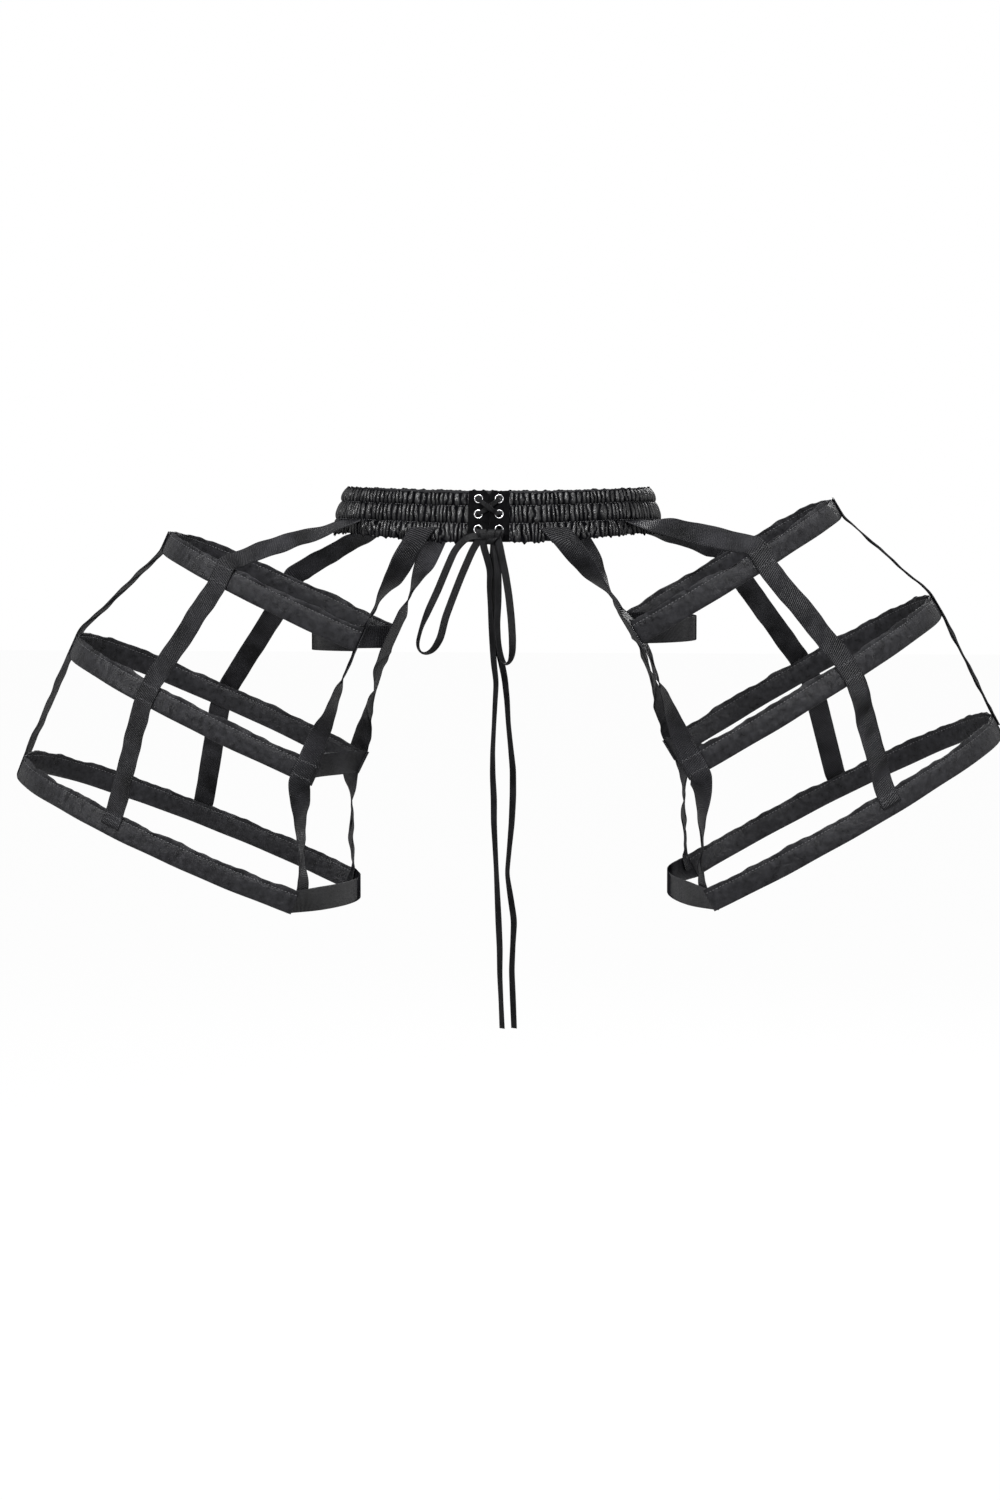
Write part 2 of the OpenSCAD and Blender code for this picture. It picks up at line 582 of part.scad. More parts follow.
// Stations over one casing; the last one ends half way down it
function over_casing(side, i, place, last = false) =
    [for (n = last ? [casing_top + 1, casing_top / 2, -2] : [casing_top + 1, 0, casing_low - 1])
        [hoop_point(side, i, place[0] + place[1] * strap_lift + [0, 0, n]),
            hoop_vector(side, i, place[2])]];
// Stations down the end of a casing, with one edge of the strap to the outside
function past_end(side, i, face) =
    let (place = band_place(i, 0, face),
        middle = place[0] - place[2] * (layer_gap + strap_thickness / 2)
            + place[1] * (casing_half - strap_width / 2))
    [for (n = [casing_top + 1, 0, casing_low - 1])
        [hoop_point(side, i, middle + [0, 0, n]), hoop_vector(side, i, place[1])]];
// Stations down the hoop's side of a hip tape, next to its corner, following its twist
function inside_tape(side, i, face) =
    let (length = norm(corner_inside(side, i, 1) - corner_inside(side, i, -1)),
        near = hip_station(side, i, face == -1 ? tape_lift / length : 1 - tape_lift / length),
        far = hip_station(side, i, face == -1 ? (tape_lift + strap_width) / length
            : 1 - (tape_lift + strap_width) / length),
        aside = unit(cross(near[0] - far[0], near[1] + far[1])),
        outwards = aside * hoop_vector(side, i, [1, 0, 0]) > 0 ? aside : -aside)
    [for (n = [casing_top + 1, casing_top / 2, -2])
        let (edge = near[0] + near[1] * n, other = far[0] + far[1] * n)
        [(edge + other) / 2 + outwards * (strap_thickness + layer_gap * 4), unit(edge - other)]];
// A station on the waistband, at a distance round the oval from centre front; face
// is -1 in front and 1 behind, so that across always points away from the middle
function on_waist(side, t, face, lift, z) =
    [mirrored(side, oval_point(t, lift, z)),
        mirrored(side, unit(oval_point(t - face, 0, z) - oval_point(t + face, 0, z)))];
// The inner straps lie slanted over the lowest channel, pointing to the hoop's corner
function inner_start(side, face) =
    let (corner = mirrored(side, past_end(side, 0, face)[0][0]),
        slope = (corner[0] - inner_strap_out) / (-half_height - corner[2]),
        top_z = -lower_seam - inner_strap_drop,
        middle_z = (top_z - half_height) / 2)
    [for (z = [top_z, middle_z, -half_height - 1])
        let (t = inner_strap_t + (middle_z - z) * slope)
        on_waist(side, face == -1 ? t : oval_length / 2 - t, face, waist_lift, z)];
// The side straps are caught in the lower seam and stand off from there
function side_start(side, face) =
    [on_waist(side, face == -1 ? side_strap_t : back_strap_t, face, seam_lift, -lower_seam)];
// Stations between two others, turned about the run by twist part of the way
strap_steps = 8;
function between(from, to, twist) =
    let (run = unit(to[0] - from[0]))
    [for (k = [1:strap_steps - 1])
        let (share = k / strap_steps,
            flat = unit(mix(from[1], to[1], share)),
            square_on = unit(flat - run * (run * flat)),
            held = unit(mix(flat, square_on, min(1, 8 * min(share, 1 - share)))))
        [mix(from[0], to[0], share), turned(held, run, twist * sin(180 * share))]];
function joined(groups, twists) =
    [for (g = [0:len(groups) - 1]) each concat(groups[g],
        g < len(groups) - 1
            ? between(groups[g][len(groups[g]) - 1], groups[g + 1][0], twists[g]) : [])];

// Distance round from the middle of the front, or of the back, to a distance aside
function side_of_oval(out) =
    let (bend = front_radius * sin(front_turn))
    out < bend ? front_radius * asin(out / front_radius) * PI / 180
        : front_length + waist_side_radius
            * (asin((out - side_centre) / waist_side_radius) - front_turn) * PI / 180;
inner_strap_t = side_of_oval(inner_strap_out);
side_strap_t = front_length + side_length / 2 - waist_side_radius * side_strap_angle * PI / 180;
back_strap_t = oval_length / 2 - side_of_oval(back_strap_out);
front_strap_at = [front_strap_at_top, front_strap_at_middle, front_strap_at_bottom];
back_strap_at = [back_strap_at_top, back_strap_at_middle, back_strap_at_bottom];

// The inner straps go past the top casing's end, over the middle casing and inside
// the bottom hip tape; the others lie over the outside of all three casings.
function inner_strap_stations(side, face) =
    let (way = (side == "left" ? 1 : -1) * face)
    joined([inner_start(side, face), past_end(side, 0, face),
        over_casing(side, 1, band_place(1, inner_strap_at, face)), inside_tape(side, 2, face)],
        [0, way * upper_strap_twist, way * lower_strap_twist]);
function side_strap_stations(side, face, at) =
    let (twist = face == 1 ? 0 : side == "left" ? -left_strap_twist : right_strap_twist)
    joined(concat([side_start(side, face)],
        [for (i = [0:2])
            let (shift = i == 0 && face == -1 && side == "left" ? left_strap_shift : 0)
            over_casing(side, i, band_place(i, at[i] + shift, face), last = i == 2)]), [twist, 0, 0]);
function outer_strap_stations(side) =
    joined([for (i = [0:2]) over_casing(side, i, tip_place(i), last = i == 2)], [0, 0]);
function strap_stations(name, side) =
    name == "front_inner" ? inner_strap_stations(side, -1)
    : name == "back_inner" ? inner_strap_stations(side, 1)
    : name == "front_side" ? side_strap_stations(side, -1, front_strap_at)
    : name == "back_side" ? side_strap_stations(side, 1, back_strap_at)
    : outer_strap_stations(side);

module strap(name, side) {
    color(RIBBON) ribbon(strap_stations(name, side), strap_width, strap_thickness);
}

waistband_outer();
waistband_lining();
elastic(0);  // elastic_upper
elastic(1);  // elastic_middle
elastic(2);  // elastic_lower
eyelet_panel("left");  // eyelet_panel_left
eyelet_panel("right");  // eyelet_panel_right
eyelets();
lacing();
bow_knot();
lace(left_loop_route);  // bow_loop_left
lace(right_loop_route);  // bow_loop_right
lace(left_tail_route);  // lace_tail_left
lace(right_tail_route);  // lace_tail_right
for (side = SIDES) {
    for (hoop = HOOPS) {
        hoop_casing(side, hoop);
        hoop_bone(side, hoop);
        hip_tape(side, hoop);
    }
    for (name = STRAPS)
        strap(name, side);
}
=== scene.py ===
# %% [markdown]
# # A bustle skirt in cloth, ribbon and lace
# This lesson dresses the solid model of a bustle skirt: a shirred waistband that laces at
# the front, and two open side cages of covered hoops hung on ribbon straps. The solid
# model fixes every size and place. Here each cloth piece is made again as a fine mesh
# that folds, ripples and puckers as sewn cloth does.

# %% Load the solid model
import math
import bpy
import bmesh
import numpy as np
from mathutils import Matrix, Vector


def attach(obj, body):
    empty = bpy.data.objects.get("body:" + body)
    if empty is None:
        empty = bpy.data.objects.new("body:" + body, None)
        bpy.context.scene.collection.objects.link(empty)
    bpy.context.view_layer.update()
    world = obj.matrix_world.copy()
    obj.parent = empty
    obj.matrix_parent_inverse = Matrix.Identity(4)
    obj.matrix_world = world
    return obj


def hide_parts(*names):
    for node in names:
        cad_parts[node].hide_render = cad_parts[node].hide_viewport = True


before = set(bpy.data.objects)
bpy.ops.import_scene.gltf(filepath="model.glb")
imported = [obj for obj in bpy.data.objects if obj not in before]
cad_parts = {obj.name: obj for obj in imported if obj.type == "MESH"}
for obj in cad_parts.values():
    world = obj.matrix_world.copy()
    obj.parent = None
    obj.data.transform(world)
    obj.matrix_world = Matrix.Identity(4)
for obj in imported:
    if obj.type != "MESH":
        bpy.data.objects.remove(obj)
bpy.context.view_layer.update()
MM = 0.001
print("solid pieces:", len(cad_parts))

# %% [markdown]
# ## Camera
# The camera comes first, because every later choice is judged through it. The garment is
# seen from three metres away, a little from its right side and from just above.

# %% Camera
VIEW_AZIMUTH = math.radians(4.5)
VIEW_ELEVATION = math.radians(5.0)
VIEW_DISTANCE = 3.0
VIEW_TARGET = Vector((0.0015, 0.0, -0.2086))
PICTURE_HEIGHT = 1500
FOCAL_PIXELS = 3429
SENSOR = 36.0


def make_camera():
    lens = bpy.data.cameras.new("camera")
    lens.sensor_width = SENSOR
    lens.lens = FOCAL_PIXELS / PICTURE_HEIGHT * SENSOR
    camera = bpy.data.objects.new("camera", lens)
    back = Vector((
        math.sin(VIEW_AZIMUTH) * math.cos(VIEW_ELEVATION),
        -math.cos(VIEW_AZIMUTH) * math.cos(VIEW_ELEVATION),
        math.sin(VIEW_ELEVATION),
    ))
    camera.location = VIEW_TARGET + back * VIEW_DISTANCE
    camera.rotation_euler = (-back).to_track_quat("-Z", "Y").to_euler()
    bpy.context.scene.collection.objects.link(camera)
    bpy.context.scene.camera = camera
    return camera


camera = make_camera()
print("lens:", round(camera.data.lens, 1), "mm")

# %% [markdown]
# ## Sizes
# These are the sizes of the solid model, in millimetres. The cloth follows the same
# formulas, so that it lies where the solids are.

# %% Sizes of the waistband and the lacing
WAIST_HALF_WIDTH = 136.5
WAIST_HALF_DEPTH = 98.0
WAIST_SIDE_RADIUS = 80.0
BAND_HEIGHT = 42.0
BAND_FLARE = 6.0
UPPER_SEAM = 8.0
LOWER_SEAM = -7.0
LAYER_GAP = 0.3
LINING_CLOTH = 1.0
GATHERED_OFFSET = 2.6
GATHERED_CLOTH = 0.8
CHANNEL_PUFF = 1.7
GATHER_DEPTH = 1.5
PANEL_WIDTH = 17.0
PANEL_THICKNESS = 3.4
EYELET_INSET = 8.6
EYELET_TOP = 11.5
EYELET_PITCH = 12.8
EYELET_HOLE = 2.5
EYELET_METAL = 0.4
LACE_WIDTH = 5.0
LACE_THICKNESS = 0.8
HALF_BAND = BAND_HEIGHT / 2
print("waistband:", BAND_HEIGHT, "mm high")

# %% [markdown]
# The two cages are alike, but the worn garment hangs a little askew, so each side has its
# own corner, rise and turn. They could be measured off the solids; they are written down
# here instead, since the cloth below is laid out along the hoops before any solid is
# looked at. Numbers are in millimetres and degrees, and triples run from top to bottom.

# %% Sizes of the cages and the straps
CASING_HEIGHT = 21.0
CASING_TAPE = 0.8
CASING_LIP = 3.6
BONE_THICKNESS = 1.5
CASING_HALF = BONE_THICKNESS / 2 + LAYER_GAP + CASING_TAPE
REACH = (205.0, 265.0, 301.0)
HALF_DEPTH = (90.0, 115.0, 139.0)
OUTER_ROUNDNESS = 0.75
DEEPEST_SHARE = 0.3
CORNER_OUT = {"left": 106.0, "right": 116.0}
CORNER_DROP = {"left": 112.0, "right": 102.0}
RISE = {"left": 24.5, "right": 31.0}
BACK_DROP = {"left": 2.5, "right": 0.5}
BOTTOM_RISE_LESS = 2.5
CAGE_TURN = 5.5
STEP_OUT = (0.0, 38.0, 58.0)
STEP_BACK = (0.0, 41.0, 81.0)
STEP_DOWN = (0.0, 118.0, 233.0)
HIP_BULGE = (54.0, 26.0, -30.0)
STRAP_WIDTH = 19.0
STRAP_THICKNESS = 0.9
INNER_STRAP_OUT = 56.0
SIDE_STRAP_ANGLE = 42.0
BACK_STRAP_OUT = 96.0
LEFT_STRAP_SHIFT = 9.0
INNER_STRAP_AT = 11.0
FRONT_STRAP_AT = (123.0, 164.0, 177.0)
BACK_STRAP_AT = (108.0, 145.0, 161.0)
UPPER_STRAP_TWIST = 12.0
LOWER_STRAP_TWIST = 45.0
SIDE_STRAP_TWIST = {"left": -14.0, "right": 40.0}
INNER_STRAP_DROP = 5.0
STRAP_STEPS = 8
SIDES = ("left", "right")
HOOPS = ("top", "middle", "bottom")
print("hoops reach", REACH, "mm out from the hip")

# %% [markdown]
# ## Small tools
# A few helpers do the repeated work: unit vectors, smooth waves that look hand made but
# come out the same on every run, and one function that turns a grid of points into a
# closed mesh with a UV map in metres along and across the cloth.

# %% Vectors and waves
UP = np.array([0, 0, 1.0])
WAVE_STRETCH = (0.85, 1.15)
WAVE_DRIFT = 0.8
DRIFT_LENGTH = 4.3


def unit(v):
    v = np.asarray(v, float)
    return v / np.maximum(np.linalg.norm(v, axis=-1, keepdims=True), 1e-12)


def mix(a, b, share):
    return a + (b - a) * share


def run_along(points):
    """Distances along rows of points, from 0 at the first."""
    return np.concatenate([[0], np.cumsum(np.linalg.norm(np.diff(points, axis=0), axis=1))])


def square_to(run, across):
    """The directions across, made square to the run."""
    return unit(across - run * np.sum(run * across, axis=-1, keepdims=True))


def around(s, centre, reach, height=1.5):
    """1 around a centre, and down to 0 further away than height times reach."""
    return np.clip(height - np.abs(s - centre) / reach, 0, 1)


def ripple(s, wavelengths, seed):
    """A smooth uneven wave of about unit height along the lengths s."""
    rng = np.random.default_rng(seed)
    total = np.zeros_like(np.asarray(s, float))
    for wavelength in wavelengths:
        phase, stretch = rng.uniform(0, 2 * np.pi), rng.uniform(*WAVE_STRETCH)
        drift = WAVE_DRIFT * np.sin(np.asarray(s) / (wavelength * DRIFT_LENGTH) + rng.uniform(0, 6))
        total += np.sin(2 * np.pi * s / (wavelength * stretch) + phase + drift)
    return total / math.sqrt(len(wavelengths))


def waves(s, parts, seed):
    """A sum of ripples, each given by its height, its wavelengths and its step from the seed."""
    return sum(height * ripple(s, lengths, seed + step) for height, lengths, step in parts)


def turned(v, axis, angle):
    """Rows of v turned about rows of a unit axis by angles in radians."""
    c, s = np.cos(angle)[..., None], np.sin(angle)[..., None]
    dot = np.sum(axis * v, axis=-1, keepdims=True)
    return v * c + np.cross(axis, v) * s + axis * dot * (1 - c)


print("a wave's height:", round(float(np.abs(ripple(np.arange(1000.0), (20, 33), 1)).max()), 2))

# %% [markdown]
# Casings, ribbons, the satin and its lining are all the same thing to a modeller: rows of
# points round a section, repeated along a line. A curve with a bevel could sweep them,
# but it can't change its section on the way. So one helper turns a grid of points into a
# closed mesh with a cloth map, measured in metres of cloth.

# %% Grid to mesh
def link_mesh(name, mesh):
    piece = bpy.data.objects.new(name, mesh)
    bpy.context.scene.collection.objects.link(piece)
    return piece


def rework(mesh, operation):
    """Change a mesh by one operation of bmesh."""
    work = bmesh.new()
    work.from_mesh(mesh)
    operation(work)
    work.to_mesh(mesh)
    work.free()


def keep_result(piece):
    """Turn what the piece's modifiers make into its plain mesh."""
    evaluated = piece.evaluated_get(bpy.context.evaluated_depsgraph_get())
    result = bpy.data.meshes.new_from_object(evaluated)
    piece.modifiers.clear()
    piece.data = result


def grid_mesh(name, grid, along, across, material):
    """A tube from grid[ring][point] in millimetres, closed round and capped at both ends."""
    rings, points = grid.shape[:2]
    vertices = (grid.reshape(-1, 3) * MM).tolist()
    faces, uvs = [], []
    across = np.append(across, across[0] if len(across) == points else across[-1])
    for i in range(rings - 1):
        for j in range(points):
            k = (j + 1) % points
            here, ahead = i * points, (i + 1) * points
            faces.append((here + j, here + k, ahead + k, ahead + j))
            uvs += [(along[i], across[j]), (along[i], across[j + 1]),
                    (along[i + 1], across[j + 1]), (along[i + 1], across[j])]
    for ring, order in ((0, range(points - 1, -1, -1)), (rings - 1, range(points))):
        faces.append([ring * points + j for j in order])
        uvs += [(along[ring], across[j]) for j in order]
    mesh = bpy.data.meshes.new(name)
    mesh.from_pydata(vertices, [], faces)
    layer = mesh.uv_layers.new(name="cloth")
    layer.data.foreach_set("uv", (np.array(uvs) * MM).ravel())
    mesh.materials.append(material)
    mesh.polygons.foreach_set("use_smooth", [True] * len(mesh.polygons))
    mesh.validate()
    rework(mesh, lambda work: bmesh.ops.recalc_face_normals(work, faces=work.faces))
    return link_mesh(name, mesh)


def finish_piece(piece, slot, *nodes):
    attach(piece, "root")
    if nodes:
        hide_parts(*nodes)


# %% [markdown]
# ## Cloth materials
# Black cloth isn't one black. Satin shows a soft, wide sheen, ribbed ribbon looks dull
# and greyer, and the laced panels drink the light. Threads run along and across each
# piece, so their ribs are drawn from the piece's own UV map, which measures metres along
# and across the cloth. One node group makes the ribs and the uneven tone for all cloths.

# %% Shader helpers
def add_node(tree, kind, inputs=None, **settings):
    node = tree.nodes.new(kind)
    for key, value in settings.items():
        setattr(node, key, value)
    for key, value in (inputs or {}).items():
        if hasattr(value, "is_output"):
            tree.links.new(value, node.inputs[key])
        else:
            node.inputs[key].default_value = value
    return node


def math_node(tree, operation, a, b=0.0):
    return add_node(tree, "ShaderNodeMath", {0: a, 1: b}, operation=operation).outputs[0]


def remap(tree, value, low, high, to_low=0.0, to_high=1.0):
    limits = {"From Min": low, "From Max": high, "To Min": to_low, "To Max": to_high}
    return add_node(tree, "ShaderNodeMapRange", {"Value": value, **limits}).outputs[0]


def make_cloth_group():
    """Ribs across the cloth, fine threads along it, and a slow uneven tone. Sizes are in millimetres."""
    group = bpy.data.node_groups.new("cloth_threads", "ShaderNodeTree")
    for name, value in (("Rib pitch", 0.9), ("Rib slant", 0.0), ("Thread pitch", 0.3),
                        ("Thread share", 0.4), ("Patch size", 12.0), ("Crease size", 4.0)):
        socket = group.interface.new_socket(name, in_out="INPUT", socket_type="NodeSocketFloat")
        socket.default_value = value
    for name in ("Height", "Tone", "Crumple"):
        group.interface.new_socket(name, in_out="OUTPUT", socket_type="NodeSocketFloat")
    start = add_node(group, "NodeGroupInput")
    end = add_node(group, "NodeGroupOutput")
    uv = add_node(group, "ShaderNodeUVMap", uv_map="cloth")
    parts = add_node(group, "ShaderNodeSeparateXYZ", {0: uv.outputs[0]})
    place = add_node(group, "ShaderNodeTexCoord").outputs["Object"]

    def times(a, b):
        return math_node(group, "MULTIPLY", a, b)

    def wave(length, pitch):
        turns = math_node(group, "DIVIDE", length, start.outputs[pitch])
        return math_node(group, "SINE", times(turns, 2 * math.pi))

    def noise(size, **more):
        scale = math_node(group, "DIVIDE", 1 / MM, start.outputs[size])
        made = add_node(group, "ShaderNodeTexNoise", {"Vector": place, "Scale": scale, **more})
        return made.outputs["Fac"]

    along, across = times(parts.outputs["X"], 1 / MM), times(parts.outputs["Y"], 1 / MM)
    slanted = math_node(group, "ADD", along, times(across, start.outputs["Rib slant"]))
    threads = times(wave(across, "Thread pitch"), start.outputs["Thread share"])
    group.links.new(math_node(group, "ADD", wave(slanted, "Rib pitch"), threads), end.inputs["Height"])
    group.links.new(noise("Patch size", Detail=3.0), end.inputs["Tone"])
    group.links.new(noise("Crease size", Detail=1.0, Distortion=0.5), end.inputs["Crumple"])
    return group


cloth_group = make_cloth_group()
print("node group:", cloth_group.name)

# %% [markdown]
# The cloths differ in their threads, their shine and how they crease: satin tape is
# tight and glossy, the strap ribbon has ribs across it, the panels are dull. All of them
# use the group above. The Principled shader stays in each material, where its values can
# be set by eye.

# %% Cloth materials
# The part of the noise that makes the tones, the slant at which the shine fades to painted
# shade, and the height on the folds from which the painted shade of their valleys lifts
TONE_RANGE = (0.3, 0.7)
SHINE_FADES_TO_SHADE = (0.5, 0.85)
VALLEY_SHADE_FADE = (0.5, 0.95)


def make_cloth(name, dark, light, roughness, rib_pitch, thread_pitch, bump, slant=0.0,
               patch=12.0, thread_share=0.4, gloss=0.3, crumple=0.0001, crease=6.0, shade_valleys=False):
    """A cloth of two close tones, with threads bump metres high and creases crumple metres deep.

    Seen along its surface, the cloth's shine fades out, which paints shade on faces seen edge-on.
    With shade_valleys set, the cloth reads an attribute "valley_shade_mask", 0 at the bottom of its folds
    and 1 on top. Its shine is taken off where the mask is low, which paints shade in the valleys.
    """
    material = bpy.data.materials.new(name)
    material.use_nodes = True
    tree = material.node_tree
    principled = tree.nodes["Principled BSDF"]
    threads = add_node(tree, "ShaderNodeGroup", node_tree=cloth_group)
    for key, value in (("Rib pitch", rib_pitch), ("Rib slant", slant), ("Thread pitch", thread_pitch),
                       ("Thread share", thread_share), ("Patch size", patch), ("Crease size", crease)):
        threads.inputs[key].default_value = value
    tone = remap(tree, threads.outputs["Tone"], *TONE_RANGE)
    colour = add_node(tree, "ShaderNodeMix", {"Factor": tone}, data_type="RGBA")
    colour.inputs[6].default_value = (*dark, 1)
    colour.inputs[7].default_value = (*light, 1)
    rough = remap(tree, threads.outputs["Tone"], *TONE_RANGE, *roughness)
    creased = add_node(tree, "ShaderNodeBump", {"Height": threads.outputs["Crumple"], "Distance": crumple})
    surface = add_node(tree, "ShaderNodeBump", {
        "Height": threads.outputs["Height"], "Distance": bump, "Normal": creased.outputs[0]})
    # Painted shade: the shine fades out towards faces seen edge-on.
    view = add_node(tree, "ShaderNodeLayerWeight", {"Blend": 0.5})
    shine = remap(tree, view.outputs["Facing"], *SHINE_FADES_TO_SHADE, gloss, 0.0)
    # Painted shade: where the mask is low, in the valleys of the folds, the shine is taken off.
    if shade_valleys:
        valley_shade_mask = add_node(tree, "ShaderNodeAttribute", attribute_name="valley_shade_mask")
        shine = math_node(tree, "MULTIPLY", shine, remap(tree, valley_shade_mask.outputs["Fac"], *VALLEY_SHADE_FADE))
    tree.links.new(shine, principled.inputs["Specular IOR Level"])
    tree.links.new(colour.outputs[2], principled.inputs["Base Color"])
    tree.links.new(rough, principled.inputs["Roughness"])
    tree.links.new(surface.outputs[0], principled.inputs["Normal"])
    return material


# The satin's shine is taken off the valleys of its folds, as painted shade.
satin = make_cloth("gathered satin", (0.0004, 0.0004, 0.0006), (0.003, 0.003, 0.0036), (0.22, 0.32),
                   rib_pitch=0.5, thread_pitch=0.35, bump=0.00002, patch=9.0, gloss=0.42,
                   crumple=0.0005, crease=4.0, shade_valleys=True)
casing_satin = make_cloth("casing satin", (0.004, 0.004, 0.0046), (0.012, 0.012, 0.0136), (0.26, 0.38),
                          rib_pitch=0.9, thread_pitch=0.6, bump=0.00006, slant=0.6, patch=5.0,
                          gloss=0.1, crumple=0.001, crease=9.0)
# The ribbon's tone varies in slow patches whose dark and light lie far apart: painted sheen and shade in
# place of lamp light caught by its creases.
ribbon_cloth = make_cloth("ribbed ribbon", (0.001, 0.001, 0.0013), (0.012, 0.012, 0.0137), (0.3, 0.42),
                          rib_pitch=1.8, thread_pitch=1.3, bump=0.00022, slant=0.4, patch=26.0,
                          thread_share=0.35, gloss=0.09, crumple=0.0014, crease=18.0)
panel_cloth = make_cloth("matte panel", (0.0008, 0.0008, 0.001), (0.0025, 0.0025, 0.0028), (0.85, 0.95),
                         rib_pitch=0.7, thread_pitch=0.7, bump=0.00004, patch=4.0, gloss=0.02)
lace_cloth = make_cloth("flat lace", (0.0006, 0.0006, 0.0008), (0.004, 0.004, 0.0046), (0.4, 0.55),
                        rib_pitch=0.8, thread_pitch=0.8, bump=0.00005, slant=0.5, patch=14.0, gloss=0.07)
lining_cloth = make_cloth("lining", (0.006, 0.006, 0.007), (0.011, 0.011, 0.012), (0.6, 0.75),
                          rib_pitch=0.6, thread_pitch=0.6, bump=0.00004, patch=8.0, gloss=0.1)
thread_cloth = make_cloth("sewing thread", (0.03, 0.03, 0.032), (0.075, 0.075, 0.08), (0.4, 0.55),
                          rib_pitch=0.3, thread_pitch=0.3, bump=0.00001, patch=3.0)
print("cloths:", len(bpy.data.materials), "materials so far")

# %% [markdown]
# What is left is hard or knitted: silver eyelets, plastic bones and elastic. A plain
# shader with a slightly wandering roughness is enough for these small parts, and keeps
# them from looking like a drawing.

# %% Metal, bone and elastic
ROUGH_SPREAD = 0.08
GRAIN_HEIGHT = 0.00001


def make_plain(name, colour, roughness, metallic=0.0, scale=300.0):
    """A hard or knitted stuff whose roughness wanders a little."""
    material = bpy.data.materials.new(name)
    material.use_nodes = True
    tree = material.node_tree
    principled = tree.nodes["Principled BSDF"]
    principled.inputs["Base Color"].default_value = (*colour, 1)
    principled.inputs["Metallic"].default_value = metallic
    place = add_node(tree, "ShaderNodeTexCoord").outputs["Object"]
    noise = add_node(tree, "ShaderNodeTexNoise", {"Vector": place, "Scale": scale, "Detail": 4.0})
    rough = remap(tree, noise.outputs["Fac"], 0, 1, roughness - ROUGH_SPREAD, roughness + ROUGH_SPREAD)
    surface = add_node(tree, "ShaderNodeBump", {"Height": noise.outputs["Fac"], "Distance": GRAIN_HEIGHT})
    tree.links.new(rough, principled.inputs["Roughness"])
    tree.links.new(surface.outputs[0], principled.inputs["Normal"])
    return material


silver = make_plain("eyelet silver", (0.52, 0.52, 0.53), 0.24, metallic=1.0, scale=900.0)
bone_plastic = make_plain("bone plastic", (0.75, 0.75, 0.72), 0.45)
elastic_knit = make_plain("elastic", (0.05, 0.05, 0.052), 0.8, scale=1200.0)
bones = [node for name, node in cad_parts.items() if name.startswith("hoop_bone")]
for node in bones:
    node.data.materials.clear()
    node.data.materials.append(bone_plastic)
print("bones:", len(bones))

# %% [markdown]
# ## The hoops' shape
# A hoop lies in its own tilted plane. Its outline is three arcs: a long flat one in
# front, a tight one at the outer end and a long one behind. Everything on a hoop, its
# casing, its stitches and the straps' crossings, is placed by the distance along it.

# %% Hoop outline
END_RADIUS = [OUTER_ROUNDNESS * d for d in HALF_DEPTH]
BAND_U = [DEEPEST_SHARE * r for r in REACH]
END_U = [r - e for r, e in zip(REACH, END_RADIUS)]
BAND_RADIUS = [((END_U[i] - BAND_U[i]) ** 2 / (HALF_DEPTH[i] - END_RADIUS[i])
                + END_RADIUS[i] + HALF_DEPTH[i]) / 2 for i in range(3)]
BAND_V = [BAND_RADIUS[i] - HALF_DEPTH[i] for i in range(3)]
END_TURN = [math.atan2(BAND_V[i], END_U[i] - BAND_U[i]) for i in range(3)]
CORNER_TURN = [math.acos(-BAND_U[i] / BAND_RADIUS[i]) for i in range(3)]


def mirrored(side, v):
    return np.asarray(v, float) * ([-1, 1, 1] if side == "left" else [1, 1, 1])


def hoop_place(side, i):
    """The middle of the hoop's open side, next to the hip, for the right-hand side."""
    return np.array([CORNER_OUT[side] + STEP_OUT[i], STEP_BACK[i], -CORNER_DROP[side] - STEP_DOWN[i]])


def hoop_axes(side, i):
    """The hoop's own directions outwards, backwards and up, as rows."""
    rise = math.radians(RISE[side] - (BOTTOM_RISE_LESS if i == 2 else 0))
    pitch, turn = math.radians(-BACK_DROP[side]), math.radians(CAGE_TURN)
    out = np.array([math.cos(turn), math.sin(turn), 0])
    back = np.array([-math.sin(turn), math.cos(turn), 0])
    u = out * math.cos(rise) + UP * math.sin(rise)
    n = UP * math.cos(rise) - out * math.sin(rise)
    return np.array([u, back * math.cos(pitch) + n * math.sin(pitch),
                     n * math.cos(pitch) - back * math.sin(pitch)])


def hoop_vector(side, i, v):
    return mirrored(side, np.asarray(v, float) @ hoop_axes(side, i))


def hoop_point(side, i, v):
    return mirrored(side, hoop_place(side, i)) + hoop_vector(side, i, v)


def hoop_length(i):
    return 2 * BAND_RADIUS[i] * (CORNER_TURN[i] - END_TURN[i]) + 2 * END_RADIUS[i] * END_TURN[i]


def hoop_outline(i, s):
    """Points and outward directions in the hoop's plane at the distances s from the front corner."""
    side_length = BAND_RADIUS[i] * (CORNER_TURN[i] - END_TURN[i])
    end_length = 2 * END_RADIUS[i] * END_TURN[i]
    s = np.asarray(s, float)
    front = -CORNER_TURN[i] + s / BAND_RADIUS[i]
    end = -END_TURN[i] + (s - side_length) / END_RADIUS[i]
    back = END_TURN[i] + (s - side_length - end_length) / BAND_RADIUS[i]
    part = np.where(s < side_length, 0, np.where(s < side_length + end_length, 1, 2))
    angle = np.choose(part, [front, end, back])
    radius = np.choose(part, [BAND_RADIUS[i], END_RADIUS[i], BAND_RADIUS[i]])
    cu = np.choose(part, [BAND_U[i], END_U[i], BAND_U[i]])
    cv = np.choose(part, [BAND_V[i], 0.0, -BAND_V[i]])
    out = np.stack([np.cos(angle), np.sin(angle), 0 * angle], -1)
    point = np.stack([cu, cv, 0 * angle], -1) + out * radius[:, None]
    return point, out


